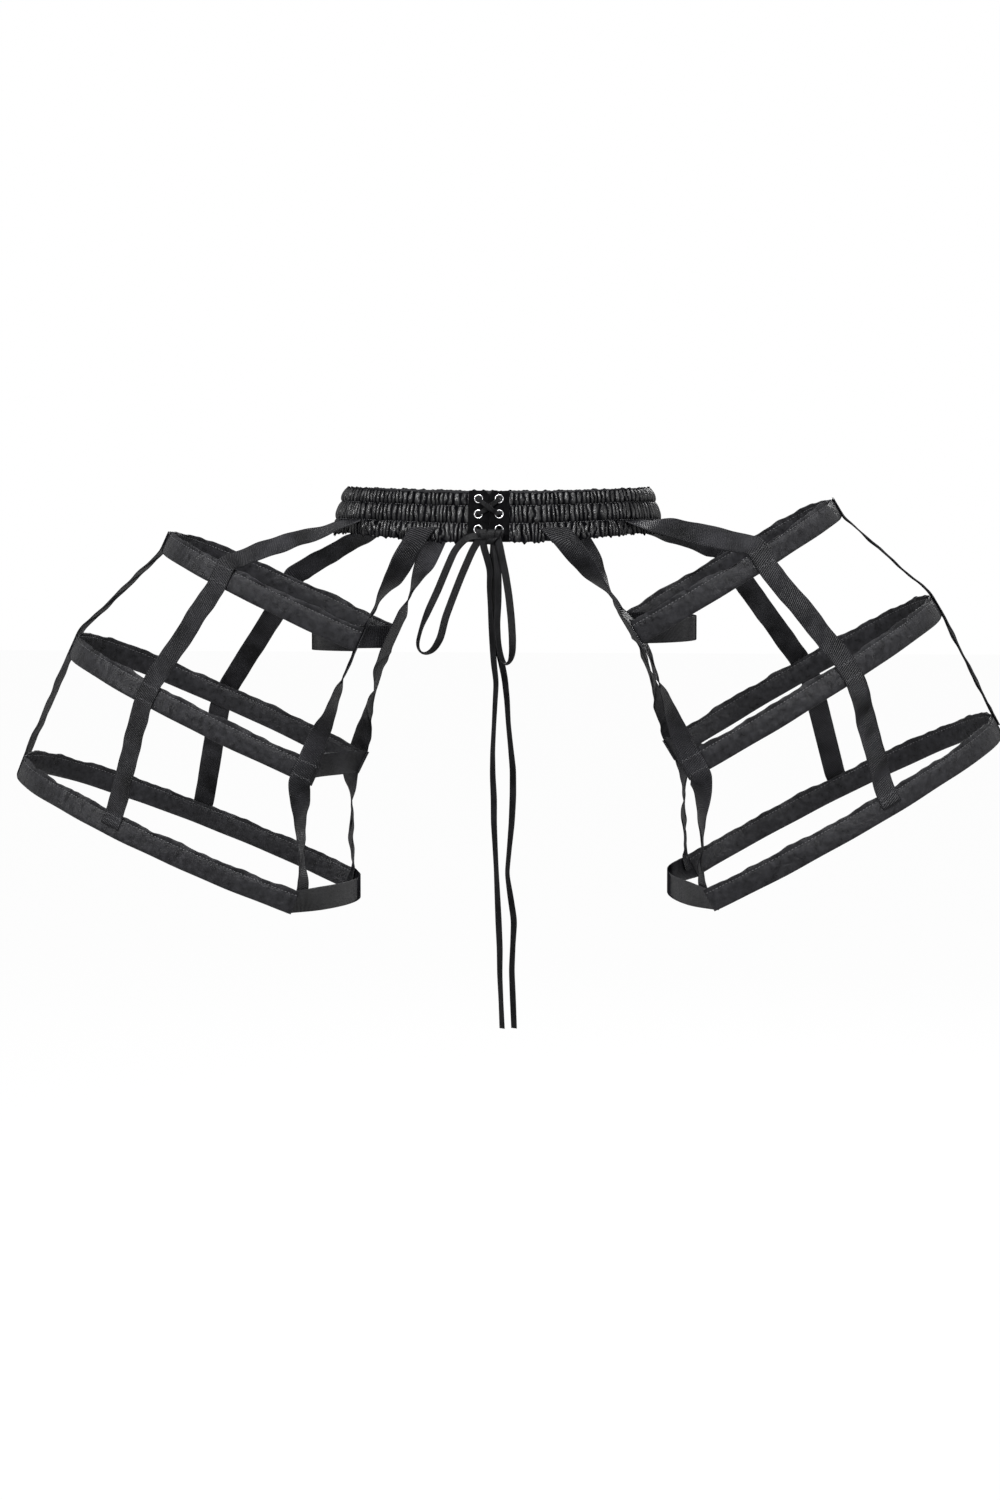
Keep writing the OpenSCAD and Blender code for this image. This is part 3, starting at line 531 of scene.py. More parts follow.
print("hoop lengths:", [round(hoop_length(i)) for i in range(3)], "mm")

# %% [markdown]
# ## Hoop casings
# A casing is satin tape folded round a flat bone and sewn along its upper edge. The fold
# below is smooth and tight. Above the stitches two loose layers are left, and because the
# tape is a little longer than the bone it ripples there. A section is swept along the
# hoop, and two uneven waves push the lip in and out and up and down.

# %% Casing section
LIP_TOP = CASING_HEIGHT / 2
SEAM_AT = LIP_TOP - CASING_LIP
# Half of the section, from the groove between the layers down to the fold:
# distance out, height, how much the lip's ripple moves it, how much it puckers
CASING_SECTION = (
    (0.05, LIP_TOP - 0.9, 1.0, 0.0), (0.35, LIP_TOP - 0.15, 1.0, 0.0), (0.62, LIP_TOP, 1.0, 0.0),
    (0.82, LIP_TOP - 0.3, 1.0, 0.1), (0.86, LIP_TOP - 1.2, 0.75, 0.2), (0.84, SEAM_AT + 1.3, 0.4, 0.5),
    (0.72, SEAM_AT + 0.5, 0.1, 0.9), (0.58, SEAM_AT, 0.0, 0.6), (0.8, SEAM_AT - 0.6, 0.0, 1.0),
    (1.25, SEAM_AT - 1.7, 0.0, 1.0), (1.62, SEAM_AT - 3.2, 0.0, 0.8), (1.84, SEAM_AT - 5.2, 0.0, 0.5),
    (1.88, SEAM_AT - 7.5, 0.0, 0.3), (1.86, SEAM_AT - 10.0, 0.0, 0.3), (1.8, SEAM_AT - 12.4, 0.0, 0.4),
    (1.68, SEAM_AT - 14.4, 0.0, 0.6), (1.4, SEAM_AT - 15.9, 0.0, 0.7), (0.9, SEAM_AT - 17.0, 0.0, 0.5),
    (0.3, -LIP_TOP, 0.0, 0.3),
)
THIN_TAPE = 0.5
THIN_FROM = SEAM_AT - 1.7
# How far the strap sewn over a hoop's front crushes its lip
LIP_CRUSH = {"left": (1.0, 0.8, 0.5), "right": (3.2, 1.0, 0.5)}
TIP_CRUSH = {"left": (2.0, 0.5, 0.5), "right": (3.2, 0.5, 0.5)}
BACK_CRUSH = 0.8


def hoop_run(i, at):
    """How far along a hoop's front, from its corner, the point is that lies at from the hip."""
    return (CORNER_TURN[i] - math.acos((at - BAND_U[i]) / BAND_RADIUS[i])) * BAND_RADIUS[i]


def strap_at(side, i, face):
    """How far out a side strap crosses a hoop. One of them sits a little further out."""
    if face == 1:
        return BACK_STRAP_AT[i]
    return FRONT_STRAP_AT[i] + (LEFT_STRAP_SHIFT if side == "left" and i == 0 else 0)


def crossed_at(side, i):
    """Distances along a hoop at which straps are sewn on, each with how far it crushes the lip."""
    length = hoop_length(i)
    front, back = hoop_run(i, strap_at(side, i, -1)), length - hoop_run(i, strap_at(side, i, 1))
    return [(front, LIP_CRUSH[side][i]), (length / 2, TIP_CRUSH[side][i]), (back, BACK_CRUSH)]


def tape_thickness(height):
    """The tape is full at the bone and pressed thin at the seam and in the lip."""
    return CASING_TAPE if height < THIN_FROM else THIN_TAPE


def section_run():
    """Distance round the section, so that the threads keep their size across the fold."""
    half = [(d, h) for d, h, _, _ in CASING_SECTION]
    run = run_along(half + [(-d, h) for d, h in half[::-1]])
    return np.concatenate([run, run[::-1]])


# %% [markdown]
# A strap that is sewn over a casing holds the tape down, so the ripple is weak under it,
# and it crushes the lip. At its two ends the casing is pinched flat, as a sewn end is. All
# of this moves the section's points as it travels along the hoop.

# %% Casing sweep
RING_STEP = 1.6
END_PINCH = 5.0
PINCHED_SHARE = 0.35
PUCKER = (5.2, 7.4, 11)
PUCKER_DEPTH = 0.2
HELD_REACH = 0.55
HELD_SHARE = 0.75
THINNEST = 0.03
# Waves of the lip out and up and of the whole casing: height, wavelengths, step from the seed
LIP_OUT = ((0.9, (22, 37, 61), 0), (0.3, (8, 12), 1))
LIP_UP = ((0.7, (35, 58, 97), 2), (0.25, (13, 19), 4))
SWAY = ((0.35, (60, 110), 3),)
SWAY_OUT = 0.4
SWAY_UP = 0.5


def casing_grid(side, i, seed):
    """The rings of a casing, outside and inside, and their distances along the hoop."""
    length = hoop_length(i)
    s = np.linspace(0, length, int(length / RING_STEP))
    point, out = hoop_outline(i, s)
    held = np.zeros_like(s)
    crush = np.zeros_like(s)
    for at, depth in crossed_at(side, i):
        held = np.maximum(held, around(s, at, STRAP_WIDTH * HELD_REACH))
        crush = np.maximum(crush, depth * around(s, at, STRAP_WIDTH * (HELD_REACH + depth / 3)))
    loose_share = 1 - HELD_SHARE * held
    lip_push = waves(s, LIP_OUT, seed) * loose_share
    lip_lift = waves(s, LIP_UP, seed) * loose_share - crush
    sway = waves(s, SWAY, seed)
    flat = np.clip(np.minimum(s, length - s) / END_PINCH, 0, 1) ** 0.5
    fullness = PINCHED_SHARE + (1 - PINCHED_SHARE) * flat
    outside, inside = [], []
    for face in (1, -1):
        pucker = face * PUCKER_DEPTH * ripple(s, PUCKER, seed + 10 + face)
        for distance, height, loose, puckered in CASING_SECTION[::face]:
            for rows, shrink in ((outside, 0.0), (inside, tape_thickness(height))):
                spot = max(distance - shrink, THINNEST)
                offset = face * spot * fullness + loose * lip_push + puckered * pucker
                level = max(height, -LIP_TOP + shrink) if shrink else height
                rise = level + loose * lip_lift + sway * (height / LIP_TOP) * SWAY_UP
                local = point + out * (offset + sway * SWAY_OUT)[:, None] + UP * rise[:, None]
                rows.append(hoop_point(side, i, local))
    return np.stack(outside + inside[::-1], 1), s


CASING_SEED = 100
casings = []
for side_index, side in enumerate(SIDES):
    for i, hoop in enumerate(HOOPS):
        grid, s = casing_grid(side, i, CASING_SEED + 20 * side_index + 5 * i)
        piece = grid_mesh(f"casing_{side}_{hoop}", grid, s, section_run(), casing_satin)
        finish_piece(piece, "casing_satin", f"hoop_casing_{side}_{hoop}")
        casings.append(piece)
print("casings:", len(casings), "and the first has", len(casings[0].data.polygons), "faces")

# %% [markdown]
# ## Ribbons
# Straps, hip tapes and laces are all ribbons: a thin band that follows a line and keeps
# its width, turning as it goes. A ribbon here is a list of stations, each a centre and a
# direction across. The line is sampled finely and rounded a little, because cloth never
# bends at a point, and a section with soft edges is swept along it.

# %% Ribbon sweep
RIBBON_STEP = 2.0
# Places across the section, and how thick its edges are left
SPOTS = np.array([-1, -0.97, -0.75, -0.4, 0, 0.4, 0.75, 0.97, 1])
EDGE_SHARE = 0.25
END_CALM = 12.0
LEAST_SLANT = 0.4
CREASE_LEAN = 0.35
CUP_LEVEL = 0.4
# How a free ribbon moves: its share of the wave, the wavelengths, the step from the seed
PUSH = (1.0, (43, 70, 118), 0)
ROCK = (0.55, (37, 61), 1)
CUP = (0.35, (31, 53), 2)
CREASE = (0.4, (19, 33), 3)


def sampled(stations, step, rounding):
    """Stations as dense rows of centres and directions across, with corners rounded."""
    centres = np.array([row[0] for row in stations], float)
    across = np.array([row[1] for row in stations], float)
    loose = np.array([row[2] if len(row) > 2 else 0 for row in stations], float)
    keep = np.concatenate([[True], np.diff(run_along(centres)) > 1e-6])
    centres, across, loose = centres[keep], across[keep], loose[keep]
    run = run_along(centres)
    fine = np.linspace(0, run[-1], max(4, int(run[-1] / step) + 1))
    place = np.stack([np.interp(fine, run, centres[:, k]) for k in range(3)], -1)
    turn = np.stack([np.interp(fine, run, across[:, k]) for k in range(3)], -1)
    free = np.interp(fine, run, loose)
    for _ in range(int(rounding / step * 2)):
        place[1:-1] = place[1:-1] / 2 + (place[:-2] + place[2:]) / 4
        turn[1:-1] = turn[1:-1] / 2 + (turn[:-2] + turn[2:]) / 4
    return place, unit(turn), fine, free


def ribbon_grid(place, across, width, thickness, wave=0.0, seed=0, free=1.0):
    """Rings of a flat band with soft edges round dense centres. It waves only where it is free."""
    run = unit(np.gradient(place, axis=0))
    slant = np.maximum(np.linalg.norm(np.cross(across, run), axis=-1), LEAST_SLANT)
    through = unit(np.cross(run, across))
    s = run_along(place)
    width = np.broadcast_to(np.asarray(width, float), s.shape)
    free = free * np.clip(np.minimum(s, s[-1] - s) / END_CALM, 0, 1)

    def moved(at, kind):
        return wave * waves(at, (kind,), seed) * free

    push, rock, cup = moved(s, PUSH), moved(s, ROCK), moved(s, CUP)
    section = []
    for face in (1, -1):
        for spot in SPOTS[::face]:
            thick = thickness / 2 * (EDGE_SHARE if abs(spot) == 1 else 1.0)
            crease = moved(s + spot * (width * CREASE_LEAN), CREASE)
            lift = push + rock * spot + cup * (spot * spot - CUP_LEVEL) + crease
            section.append(place + across * (spot * width / 2 / slant)[:, None]
                           + through * (face * thick + lift)[:, None])
    across_run = np.concatenate([SPOTS, SPOTS[::-1]]) * float(np.mean(width)) / 2
    return np.stack(section, 1), s, across_run


def ribbon(name, stations, width, rounding=5.0, wave=0.0, seed=0):
    """A piece of the straps' ribbon along stations. Its length in metres is kept on it."""
    place, across, _, free = sampled(stations, RIBBON_STEP, rounding)
    grid, s, across_run = ribbon_grid(place, across, width, STRAP_THICKNESS, wave, seed, free)
    piece = grid_mesh(name, grid, s, across_run, ribbon_cloth)
    piece["run"] = float(s[-1]) * MM
    return piece


print("points round a ribbon:", 2 * len(SPOTS))

# %% [markdown]
# ## Straps and hip tapes
# The side straps and the outer strap lie over the outside of every casing that they meet.
# The inner straps hang slack past the end of the top casing and turn as they fall, so they
# look narrow in one place and wide in the next. The hip tapes close each hoop on the
# body's side: they follow the hip, level and smooth.

# %% Places on a hoop and on the waist
SIDE_CENTRE = WAIST_HALF_WIDTH - WAIST_SIDE_RADIUS
FRONT_CENTRE = (SIDE_CENTRE ** 2 - (WAIST_HALF_DEPTH - WAIST_SIDE_RADIUS) ** 2) / (
    2 * (WAIST_HALF_DEPTH - WAIST_SIDE_RADIUS))
FRONT_RADIUS = WAIST_HALF_DEPTH + FRONT_CENTRE
FRONT_TURN = math.atan2(SIDE_CENTRE, FRONT_CENTRE)
FRONT_LENGTH = FRONT_RADIUS * FRONT_TURN
SIDE_LENGTH = WAIST_SIDE_RADIUS * (math.pi - 2 * FRONT_TURN)
OVAL_LENGTH = 4 * FRONT_LENGTH + 2 * SIDE_LENGTH
RIDGE_OFFSET = GATHERED_OFFSET + GATHERED_CLOTH + CHANNEL_PUFF + GATHER_DEPTH / 2


def lean(z):
    """How far the flared band stands out at a height, against its middle."""
    return -z * BAND_FLARE / BAND_HEIGHT


def oval(t, offset, z):
    """Points at the distances t round the waist from centre front, offset outwards, at height z."""
    t = np.asarray(t, float)
    right = t <= OVAL_LENGTH / 2
    half = np.where(right, t, OVAL_LENGTH - t)
    part = np.where(half < FRONT_LENGTH, 0, np.where(half < FRONT_LENGTH + SIDE_LENGTH, 1, 2))
    angle = np.choose(part, [half / FRONT_RADIUS,
                             FRONT_TURN + (half - FRONT_LENGTH) / WAIST_SIDE_RADIUS,
                             math.pi - (OVAL_LENGTH / 2 - half) / FRONT_RADIUS])
    radius = np.choose(part, [FRONT_RADIUS, WAIST_SIDE_RADIUS, FRONT_RADIUS])
    cx = np.choose(part, [0.0, SIDE_CENTRE, 0.0])
    cy = np.choose(part, [FRONT_CENTRE, 0.0, -FRONT_CENTRE])
    out = radius + offset + lean(z)
    x = (cx + out * np.sin(angle)) * np.where(right, 1, -1)
    return np.stack([x, cy - out * np.cos(angle), np.broadcast_to(z, x.shape)], -1)


def band_place(i, at, face):
    """A place on a hoop's front or back, with the directions off it and along it."""
    c = (at - BAND_U[i]) / BAND_RADIUS[i]
    s = math.sqrt(1 - c * c)
    return (np.array([at, face * (BAND_RADIUS[i] * s - BAND_V[i]), 0]),
            np.array([c, face * s, 0]), np.array([s, -face * c, 0]))


def tip_place(i):
    """The same at the hoop's outer end."""
    return np.array([REACH[i], 0, 0]), np.array([1.0, 0, 0]), np.array([0, 1.0, 0])


print("round the waist:", round(OVAL_LENGTH), "mm")

# %% [markdown]
# A strap is sewn to the waistband, goes down over each casing and is sewn there, and
# hangs free in between. A cloth simulation would find the free parts by itself, but their
# twists come from how the garment was put on. So each route is a list of stations,
# each a point, the direction across the strap, and whether it is free there.

# %% Stations on the hoops
STRAP_LIFT = CASING_HALF + LAYER_GAP + STRAP_THICKNESS / 2
# Heights of the stations where a strap passes over a casing, and where it ends on one
OVER = (LIP_TOP + 1, 0, -LIP_TOP - 1)
ENDING = (LIP_TOP + 1, LIP_TOP / 2, -2)
CORNER_INSET = 2
# A hip tape stands as its casing does at its ends, and is upright from this share inwards
UPRIGHT_FROM = 1 / 6


def down(side, i, middle, across, heights):
    """Stations one under the other on a hoop, all with the same direction across."""
    return [(hoop_point(side, i, middle + UP * n), hoop_vector(side, i, across), 0) for n in heights]


def over_casing(side, i, place, last=False, lower=0.0):
    """Down over a casing from its lip, or from a little lower. The last strap ends on the casing."""
    top, *below = ENDING if last else OVER
    return down(side, i, place[0] + place[1] * STRAP_LIFT, place[2], (top - lower, *below))


def past_end(side, i, face):
    """Down the end of a casing, with one edge of the strap to the outside."""
    point, off, along = band_place(i, 0, face)
    beside = LAYER_GAP + STRAP_THICKNESS / 2
    return down(side, i, point - along * beside + off * (CASING_HALF - STRAP_WIDTH / 2), off, OVER)


def corner_inside(side, i, face):
    """The place inside a casing's corner to which the hip tape runs."""
    point, off, _ = band_place(i, CORNER_INSET, face)
    return hoop_point(side, i, point - off * STRAP_LIFT)


def hip_station(side, i, share):
    """A point of a hip tape and the direction across it. share runs from front to back."""
    front, back = corner_inside(side, i, -1), corner_inside(side, i, 1)
    chord = np.linalg.norm((back - front)[:2])
    way = (back - front) / chord
    flat_way = mirrored(side, way)
    out = mirrored(side, [flat_way[1], -flat_way[0], 0])
    bulge = HIP_BULGE[i]
    radius = (chord ** 2 / 4 + bulge ** 2) / (2 * abs(bulge))
    spread = 2 * math.atan(2 * abs(bulge) / chord)
    angle = mix(-spread, spread, share)
    run = chord / 2 + radius * math.sin(angle)
    push = math.copysign(1, bulge) * radius * (math.cos(angle) - math.cos(spread))
    level = max(0, 1 - min(share, 1 - share) / UPRIGHT_FROM)
    across = unit(mix(UP, hoop_vector(side, i, UP), level))
    return front + way * run + out * push, across


def inside_tape(side, i, face):
    """Down the hoop's side of a hip tape, next to its corner."""
    length = np.linalg.norm(corner_inside(side, i, 1) - corner_inside(side, i, -1))
    shares = STRAP_LIFT / length, (STRAP_LIFT + STRAP_WIDTH) / length
    near, far = (hip_station(side, i, share if face == -1 else 1 - share) for share in shares)
    aside = unit(np.cross(near[0] - far[0], near[1] + far[1]))
    outwards = aside if aside @ hoop_vector(side, i, [1, 0, 0]) > 0 else -aside
    standing = outwards * (STRAP_THICKNESS + LAYER_GAP * 4)
    rows = []
    for n in ENDING:
        edge, other = near[0] + near[1] * n, far[0] + far[1] * n
        rows.append(((edge + other) / 2 + standing, unit(edge - other), 0))
    return rows


print("straps lie", STRAP_LIFT, "mm off the middle of a casing")

# %% [markdown]
# On the waistband the inner straps lie over the lowest channel, and the side straps come
# out of the lower seam. Between two sewn places the ribbon hangs free: it turns square to
# its own run at once, and then takes the twist that was seen.

# %% Stations on the waistband and in between
WAIST_LIFT = RIDGE_OFFSET + LAYER_GAP + STRAP_THICKNESS / 2
SEAM_LIFT = GATHERED_OFFSET + GATHERED_CLOTH + GATHER_DEPTH / 2 + LAYER_GAP
SQUARE_FROM = 1 / 8


def side_of_oval(out):
    """Distance round from the middle of the front, or of the back, to a distance aside."""
    if out < FRONT_RADIUS * math.sin(FRONT_TURN):
        return FRONT_RADIUS * math.asin(out / FRONT_RADIUS)
    turn = math.asin((out - SIDE_CENTRE) / WAIST_SIDE_RADIUS) - FRONT_TURN
    return FRONT_LENGTH + WAIST_SIDE_RADIUS * turn


INNER_STRAP_T = side_of_oval(INNER_STRAP_OUT)
SIDE_STRAP_T = FRONT_LENGTH + SIDE_LENGTH / 2 - WAIST_SIDE_RADIUS * math.radians(SIDE_STRAP_ANGLE)
BACK_STRAP_T = OVAL_LENGTH / 2 - side_of_oval(BACK_STRAP_OUT)


def on_waist(side, t, face, lift, z):
    """A station on the waistband, with its direction across away from the middle."""
    across = mirrored(side, unit(oval(t - face, 0, z) - oval(t + face, 0, z)))
    return mirrored(side, oval(t, lift, z)), across, 0


def inner_start(side, face):
    """Over the lowest channel, slanted towards the hoop's corner."""
    corner = mirrored(side, past_end(side, 0, face)[0][0])
    slope = (corner[0] - INNER_STRAP_OUT) / (-HALF_BAND - corner[2])
    top_z = LOWER_SEAM - INNER_STRAP_DROP
    middle_z = (top_z - HALF_BAND) / 2
    rows = []
    for z in (top_z, middle_z, -HALF_BAND - 1):
        t = INNER_STRAP_T + (middle_z - z) * slope
        rows.append(on_waist(side, t if face == -1 else OVAL_LENGTH / 2 - t, face, WAIST_LIFT, z))
    return rows


def side_start(side, face):
    """Caught in the lower seam, standing off from there."""
    return [on_waist(side, SIDE_STRAP_T if face == -1 else BACK_STRAP_T, face, SEAM_LIFT, LOWER_SEAM)]


def between(start, end, twist):
    """Stations of the free strap between two others, turned most by the twist in the middle."""
    run = unit(end[0] - start[0])
    rows = []
    for k in range(1, STRAP_STEPS):
        share = k / STRAP_STEPS
        flat = unit(mix(start[1], end[1], share))
        square_on = unit(flat - run * (run @ flat))
        held = unit(mix(flat, square_on, min(1, min(share, 1 - share) / SQUARE_FROM)))
        angle = np.array(math.radians(twist) * math.sin(math.pi * share))
        rows.append((mix(start[0], end[0], share), turned(held, run, angle), 1))
    return rows


def joined(groups, twists):
    """Groups of stations with the free lengths between them, one twist to each."""
    rows = list(groups[0])
    for group, twist in zip(groups[1:], twists):
        rows += between(rows[-1], group[0], twist) + group
    return rows


print("straps start at", [round(t) for t in (INNER_STRAP_T, SIDE_STRAP_T, BACK_STRAP_T)],
      "mm round the waist")

# %% [markdown]
# Five straps hang on each side. The outer one starts on the top hoop, the others on the
# waistband. Each is the same ribbon along its own stations.

# %% Straps
STRAPS = ("front_inner", "front_side", "outer", "back_side", "back_inner")
STRAP_SEED = 300
OUTER_WAVE = 0.45


def strap_stations(strap, side):
    """The whole route of a strap, with its twists."""
    face = -1 if strap.startswith("front") else 1
    if strap == "outer":
        lower = (TIP_CRUSH[side][0] + 2, 0, 0)
        return joined([over_casing(side, i, tip_place(i), i == 2, lower[i]) for i in range(3)], (0, 0))
    if strap.endswith("inner"):
        way = face if side == "left" else -face
        middle = over_casing(side, 1, band_place(1, INNER_STRAP_AT, face))
        groups = [inner_start(side, face), past_end(side, 0, face), middle, inside_tape(side, 2, face)]
        return joined(groups, (0, way * UPPER_STRAP_TWIST, way * LOWER_STRAP_TWIST))
    twist = SIDE_STRAP_TWIST[side] if face == -1 else 0
    crossed = [band_place(i, strap_at(side, i, face), face) for i in range(3)]
    groups = [over_casing(side, i, place, i == 2) for i, place in enumerate(crossed)]
    return joined([side_start(side, face)] + groups, (twist, 0, 0))


straps = []
for side_index, side in enumerate(SIDES):
    for k, strap in enumerate(STRAPS):
        wave = OUTER_WAVE if strap == "outer" else 1.0
        piece = ribbon(f"ribbon_{strap}_{side}", strap_stations(strap, side), STRAP_WIDTH,
                       rounding=4.0, wave=wave, seed=STRAP_SEED + 20 * side_index + k)
        finish_piece(piece, "ribbon", f"strap_{strap}_{side}")
        straps.append(piece)
print("straps:", len(straps), "of lengths", sorted({round(piece["run"], 3) for piece in straps}))

# %% [markdown]
# A hip tape closes its hoop on the body's side. It is stretched from corner to corner and
# curves with the hip, so an arc is closer to it than a hanging line would be. Its ends
# are sewn in under the corners of its casing. The casing is pinched there, so the tape is
# drawn out until it reaches the cloth and no light shows between.

# %% Hip tapes
TAPE_STEPS = 24
TAPE_TUCK = 2.2


def tape_stations(side, i):
    """The stations of a hip tape, with its ends tucked in under the casing's corners."""
    rows = [hip_station(side, i, k / TAPE_STEPS) for k in range(TAPE_STEPS + 1)]
    for end, inner in ((0, 1), (-1, -2)):
        point, across = rows[end]
        rows[end] = point + unit(point - rows[inner][0]) * TAPE_TUCK, across
    return rows


for side in SIDES:
    for i, hoop in enumerate(HOOPS):
        piece = ribbon(f"tape_{side}_{hoop}", tape_stations(side, i), CASING_HEIGHT)
        finish_piece(piece, "ribbon", f"hip_tape_{side}_{hoop}")
print("hip tapes:", len(SIDES) * len(HOOPS), "with", TAPE_TUCK, "mm tucked in at each end")

# %% [markdown]
# ## The shirred waistband
# Elastic pulled through three channels gathers the satin into fine upright folds. Between
# two seams the cloth puffs out, and each fold wanders, joins its neighbour or fades. The
# surface is a fine grid whose height is a sum of narrow waves. Their phase drifts with
# the height, differently in each channel, so no two channels gather alike.

# %% Levels of the waistband
PANEL_T = FRONT_RADIUS * math.asin((PANEL_WIDTH + LAYER_GAP) / FRONT_RADIUS)
CHANNEL_EDGES = (HALF_BAND, UPPER_SEAM, LOWER_SEAM, -HALF_BAND)
ROWS_PER_CHANNEL = 11
SATIN_COLUMNS = 2500
# Worn, the band sinks a little in the middle of the front and of the back, and draws
# together at the sides. Distances round from the middle, and how far each level rises.
SETTLE_AT = (0, 40, 90, 125, 160, 186)
SETTLE_LEVELS = (-HALF_BAND, LOWER_SEAM, UPPER_SEAM, HALF_BAND)
SETTLE_BY = ((-3.6, -3.4, 0.0, 2.6, 2.6, 0), (-1.9, -1.4, 0.3, 1.2, 1.0, 0),
             (-2.1, -1.6, -0.2, 0.9, 1.0, 0), (-4.3, -4.1, -2.6, -1.4, -0.6, 0))
SIDE_TUCK = 3.6
SIDE_DRAW = 2.8
SIDE_REACH = 60
TUCK_FROM = 6.0
# The satin and the lining reach a little under the panels
UNDER_PANEL = -0.25


def round_waist(steps, clear):
    """Distances round the waist from panel to panel, with a clearance at both ends."""
    return np.linspace(PANEL_T + clear, OVAL_LENGTH - PANEL_T - clear, steps)


def settled(t, offset, z, extra=0.0):
    """Points round the waist as oval gives them, with the band settled; z is one level."""
    half = np.minimum(t, OVAL_LENGTH - t)
    half = np.minimum(half, OVAL_LENGTH / 2 - half)
    k = min(max(int(np.searchsorted(SETTLE_LEVELS, z)) - 1, 0), 2)
    share = (z - SETTLE_LEVELS[k]) / (SETTLE_LEVELS[k + 1] - SETTLE_LEVELS[k])
    rise = mix(*(np.interp(half, SETTLE_AT, row) for row in SETTLE_BY[k:k + 2]), share)
    side = around(half, OVAL_LENGTH / 4, SIDE_REACH)
    tuck = SIDE_TUCK * side * max(0, (z - TUCK_FROM) / (HALF_BAND - TUCK_FROM)) ** 2
    drawn = SIDE_DRAW * side * min(max((z - LOWER_SEAM) / (UPPER_SEAM - LOWER_SEAM), 0), 1)
    return oval(t, offset - tuck - drawn, z + rise + extra)


def channel_profile():
    """Heights of the rows, each with its channel and its place from seam to seam, 0 to 1."""
    rows = []
    for channel in range(3):
        top, bottom = CHANNEL_EDGES[channel], CHANNEL_EDGES[channel + 1]
        shares = 0.5 - 0.5 * np.cos(np.linspace(0, np.pi, ROWS_PER_CHANNEL + 1))
        rows += [(mix(top, bottom, share), channel, share) for share in shares[:-1]]
    return rows + [(-HALF_BAND, 2, 1.0)]


print("rows from seam to seam:", ROWS_PER_CHANNEL)

# %% [markdown]
# A gathered fold has a round crest and a sharp valley, so each row of folds is the size of
# a cosine. Two lengths of folds are mixed, and both slide a little from row to row. The
# lowest channel is freer, and its folds wander more.

# %% Folds of the satin
# Straps press the lowest channel flat: where, and how much of its puff is left
PRESSED = ((INNER_STRAP_T, 0.6), (SIDE_STRAP_T, 0.1), (BACK_STRAP_T, 0.1),
           (OVAL_LENGTH / 2 - INNER_STRAP_T, 0.6))
# Lengths of the folds with their weights, and how far the folds wander
UPPER_FOLDS = (((4.4, 0.74), (7.9, 0.26)), 0.7)
LOWEST_FOLDS = (((3.9, 0.66), (6.5, 0.34)), 1.9)
FOLD_ROUNDNESS = 0.7
# How the folds drift round the waist, slide with the height and bend: heights and wavelengths
DRIFT_BY, DRIFT = 1.5, (31, 57, 103)
SLIDE = (15, 27)
BEND_BY, BEND = 0.4, (11, 19)
FOLD_DEPTH = 3.4
DEEPEST = -0.65
FRILL = (4.6, 7.1, 12)
# The heights of the upper and the lower frill
FRILL_BY = (0.4, 1.0)
# The share of the folds' depth that is left at a seam
SEAM_DEPTH = 0.3
# The flat back of the satin: its levels, and the distances across the cloth there
BACK_LEVELS = (-HALF_BAND + 0.6, 0.0, HALF_BAND - 0.6)
BACK_ACROSS = [43.0, 64.0, 85.0]
PRESSED_REACH = 10


def folds(t, channel, share, seed):
    """How far the folds stand out, 0 to 1: round crests and sharp valleys that bend a little."""
    total = np.zeros_like(t)
    lengths, wander = UPPER_FOLDS if channel < 2 else LOWEST_FOLDS
    for k, (length, weight) in enumerate(lengths):
        first = seed + 7 * channel + k
        phase = DRIFT_BY * ripple(t, DRIFT, first)
        slide = wander * (share - 0.5) * ripple(t, SLIDE, first + 50)
        bend = BEND_BY * wander * math.sin(3 * math.pi * share + k) * ripple(t, BEND, first + 80)
        total += weight * np.abs(np.cos(np.pi * t / length + phase + slide + bend)) ** FOLD_ROUNDNESS
    return total


def pressed(t, channel):
    """How much of its puff a channel keeps under the straps."""
    half = np.minimum(t, OVAL_LENGTH - t)
    left = np.ones_like(t)
    for centre, share in PRESSED if channel == 2 else ():
        left = np.minimum(left, 1 - around(half, centre, PRESSED_REACH, 1.6) * (1 - share))
    return left


print("folds, mm long:", [length for length, _ in UPPER_FOLDS[0] + LOWEST_FOLDS[0]])

# %% [markdown]
# The folds stand out most in the middle of a channel and are low at its seams. The free
# edges at the top and the bottom frill. Each point also keeps a mask of painted shade, from how
# high it lies on the folds and how near a seam, and the shader takes the shine off where it is low.

# %% Waistband satin
ARCH_FULLNESS = 0.55
FOLD_MIDDLE = 0.62
END_REACH = 3.0
END_LEFT = 0.15
EDGE_SWELL = 0.4
# The share of the shine left at a seam, where painted shade falls
SHINE_LEFT_IN_SEAM_SHADE = 0.6
# How the folds' depth and a channel's puff vary round the waist, and how the rows wander
UNEVEN = (0.2, (6, 10, 23), 40)
FULLNESS = (0.15, (40, 90), 30)
ROW_WANDER = (0.35, (11, 17, 33), 60)
SATIN_SEED = 500


def varied(t, kind, seed):
    """About 1: less a share, plus waves of that height round the waist."""
    return 1 - kind[0] + waves(t, (kind,), seed)


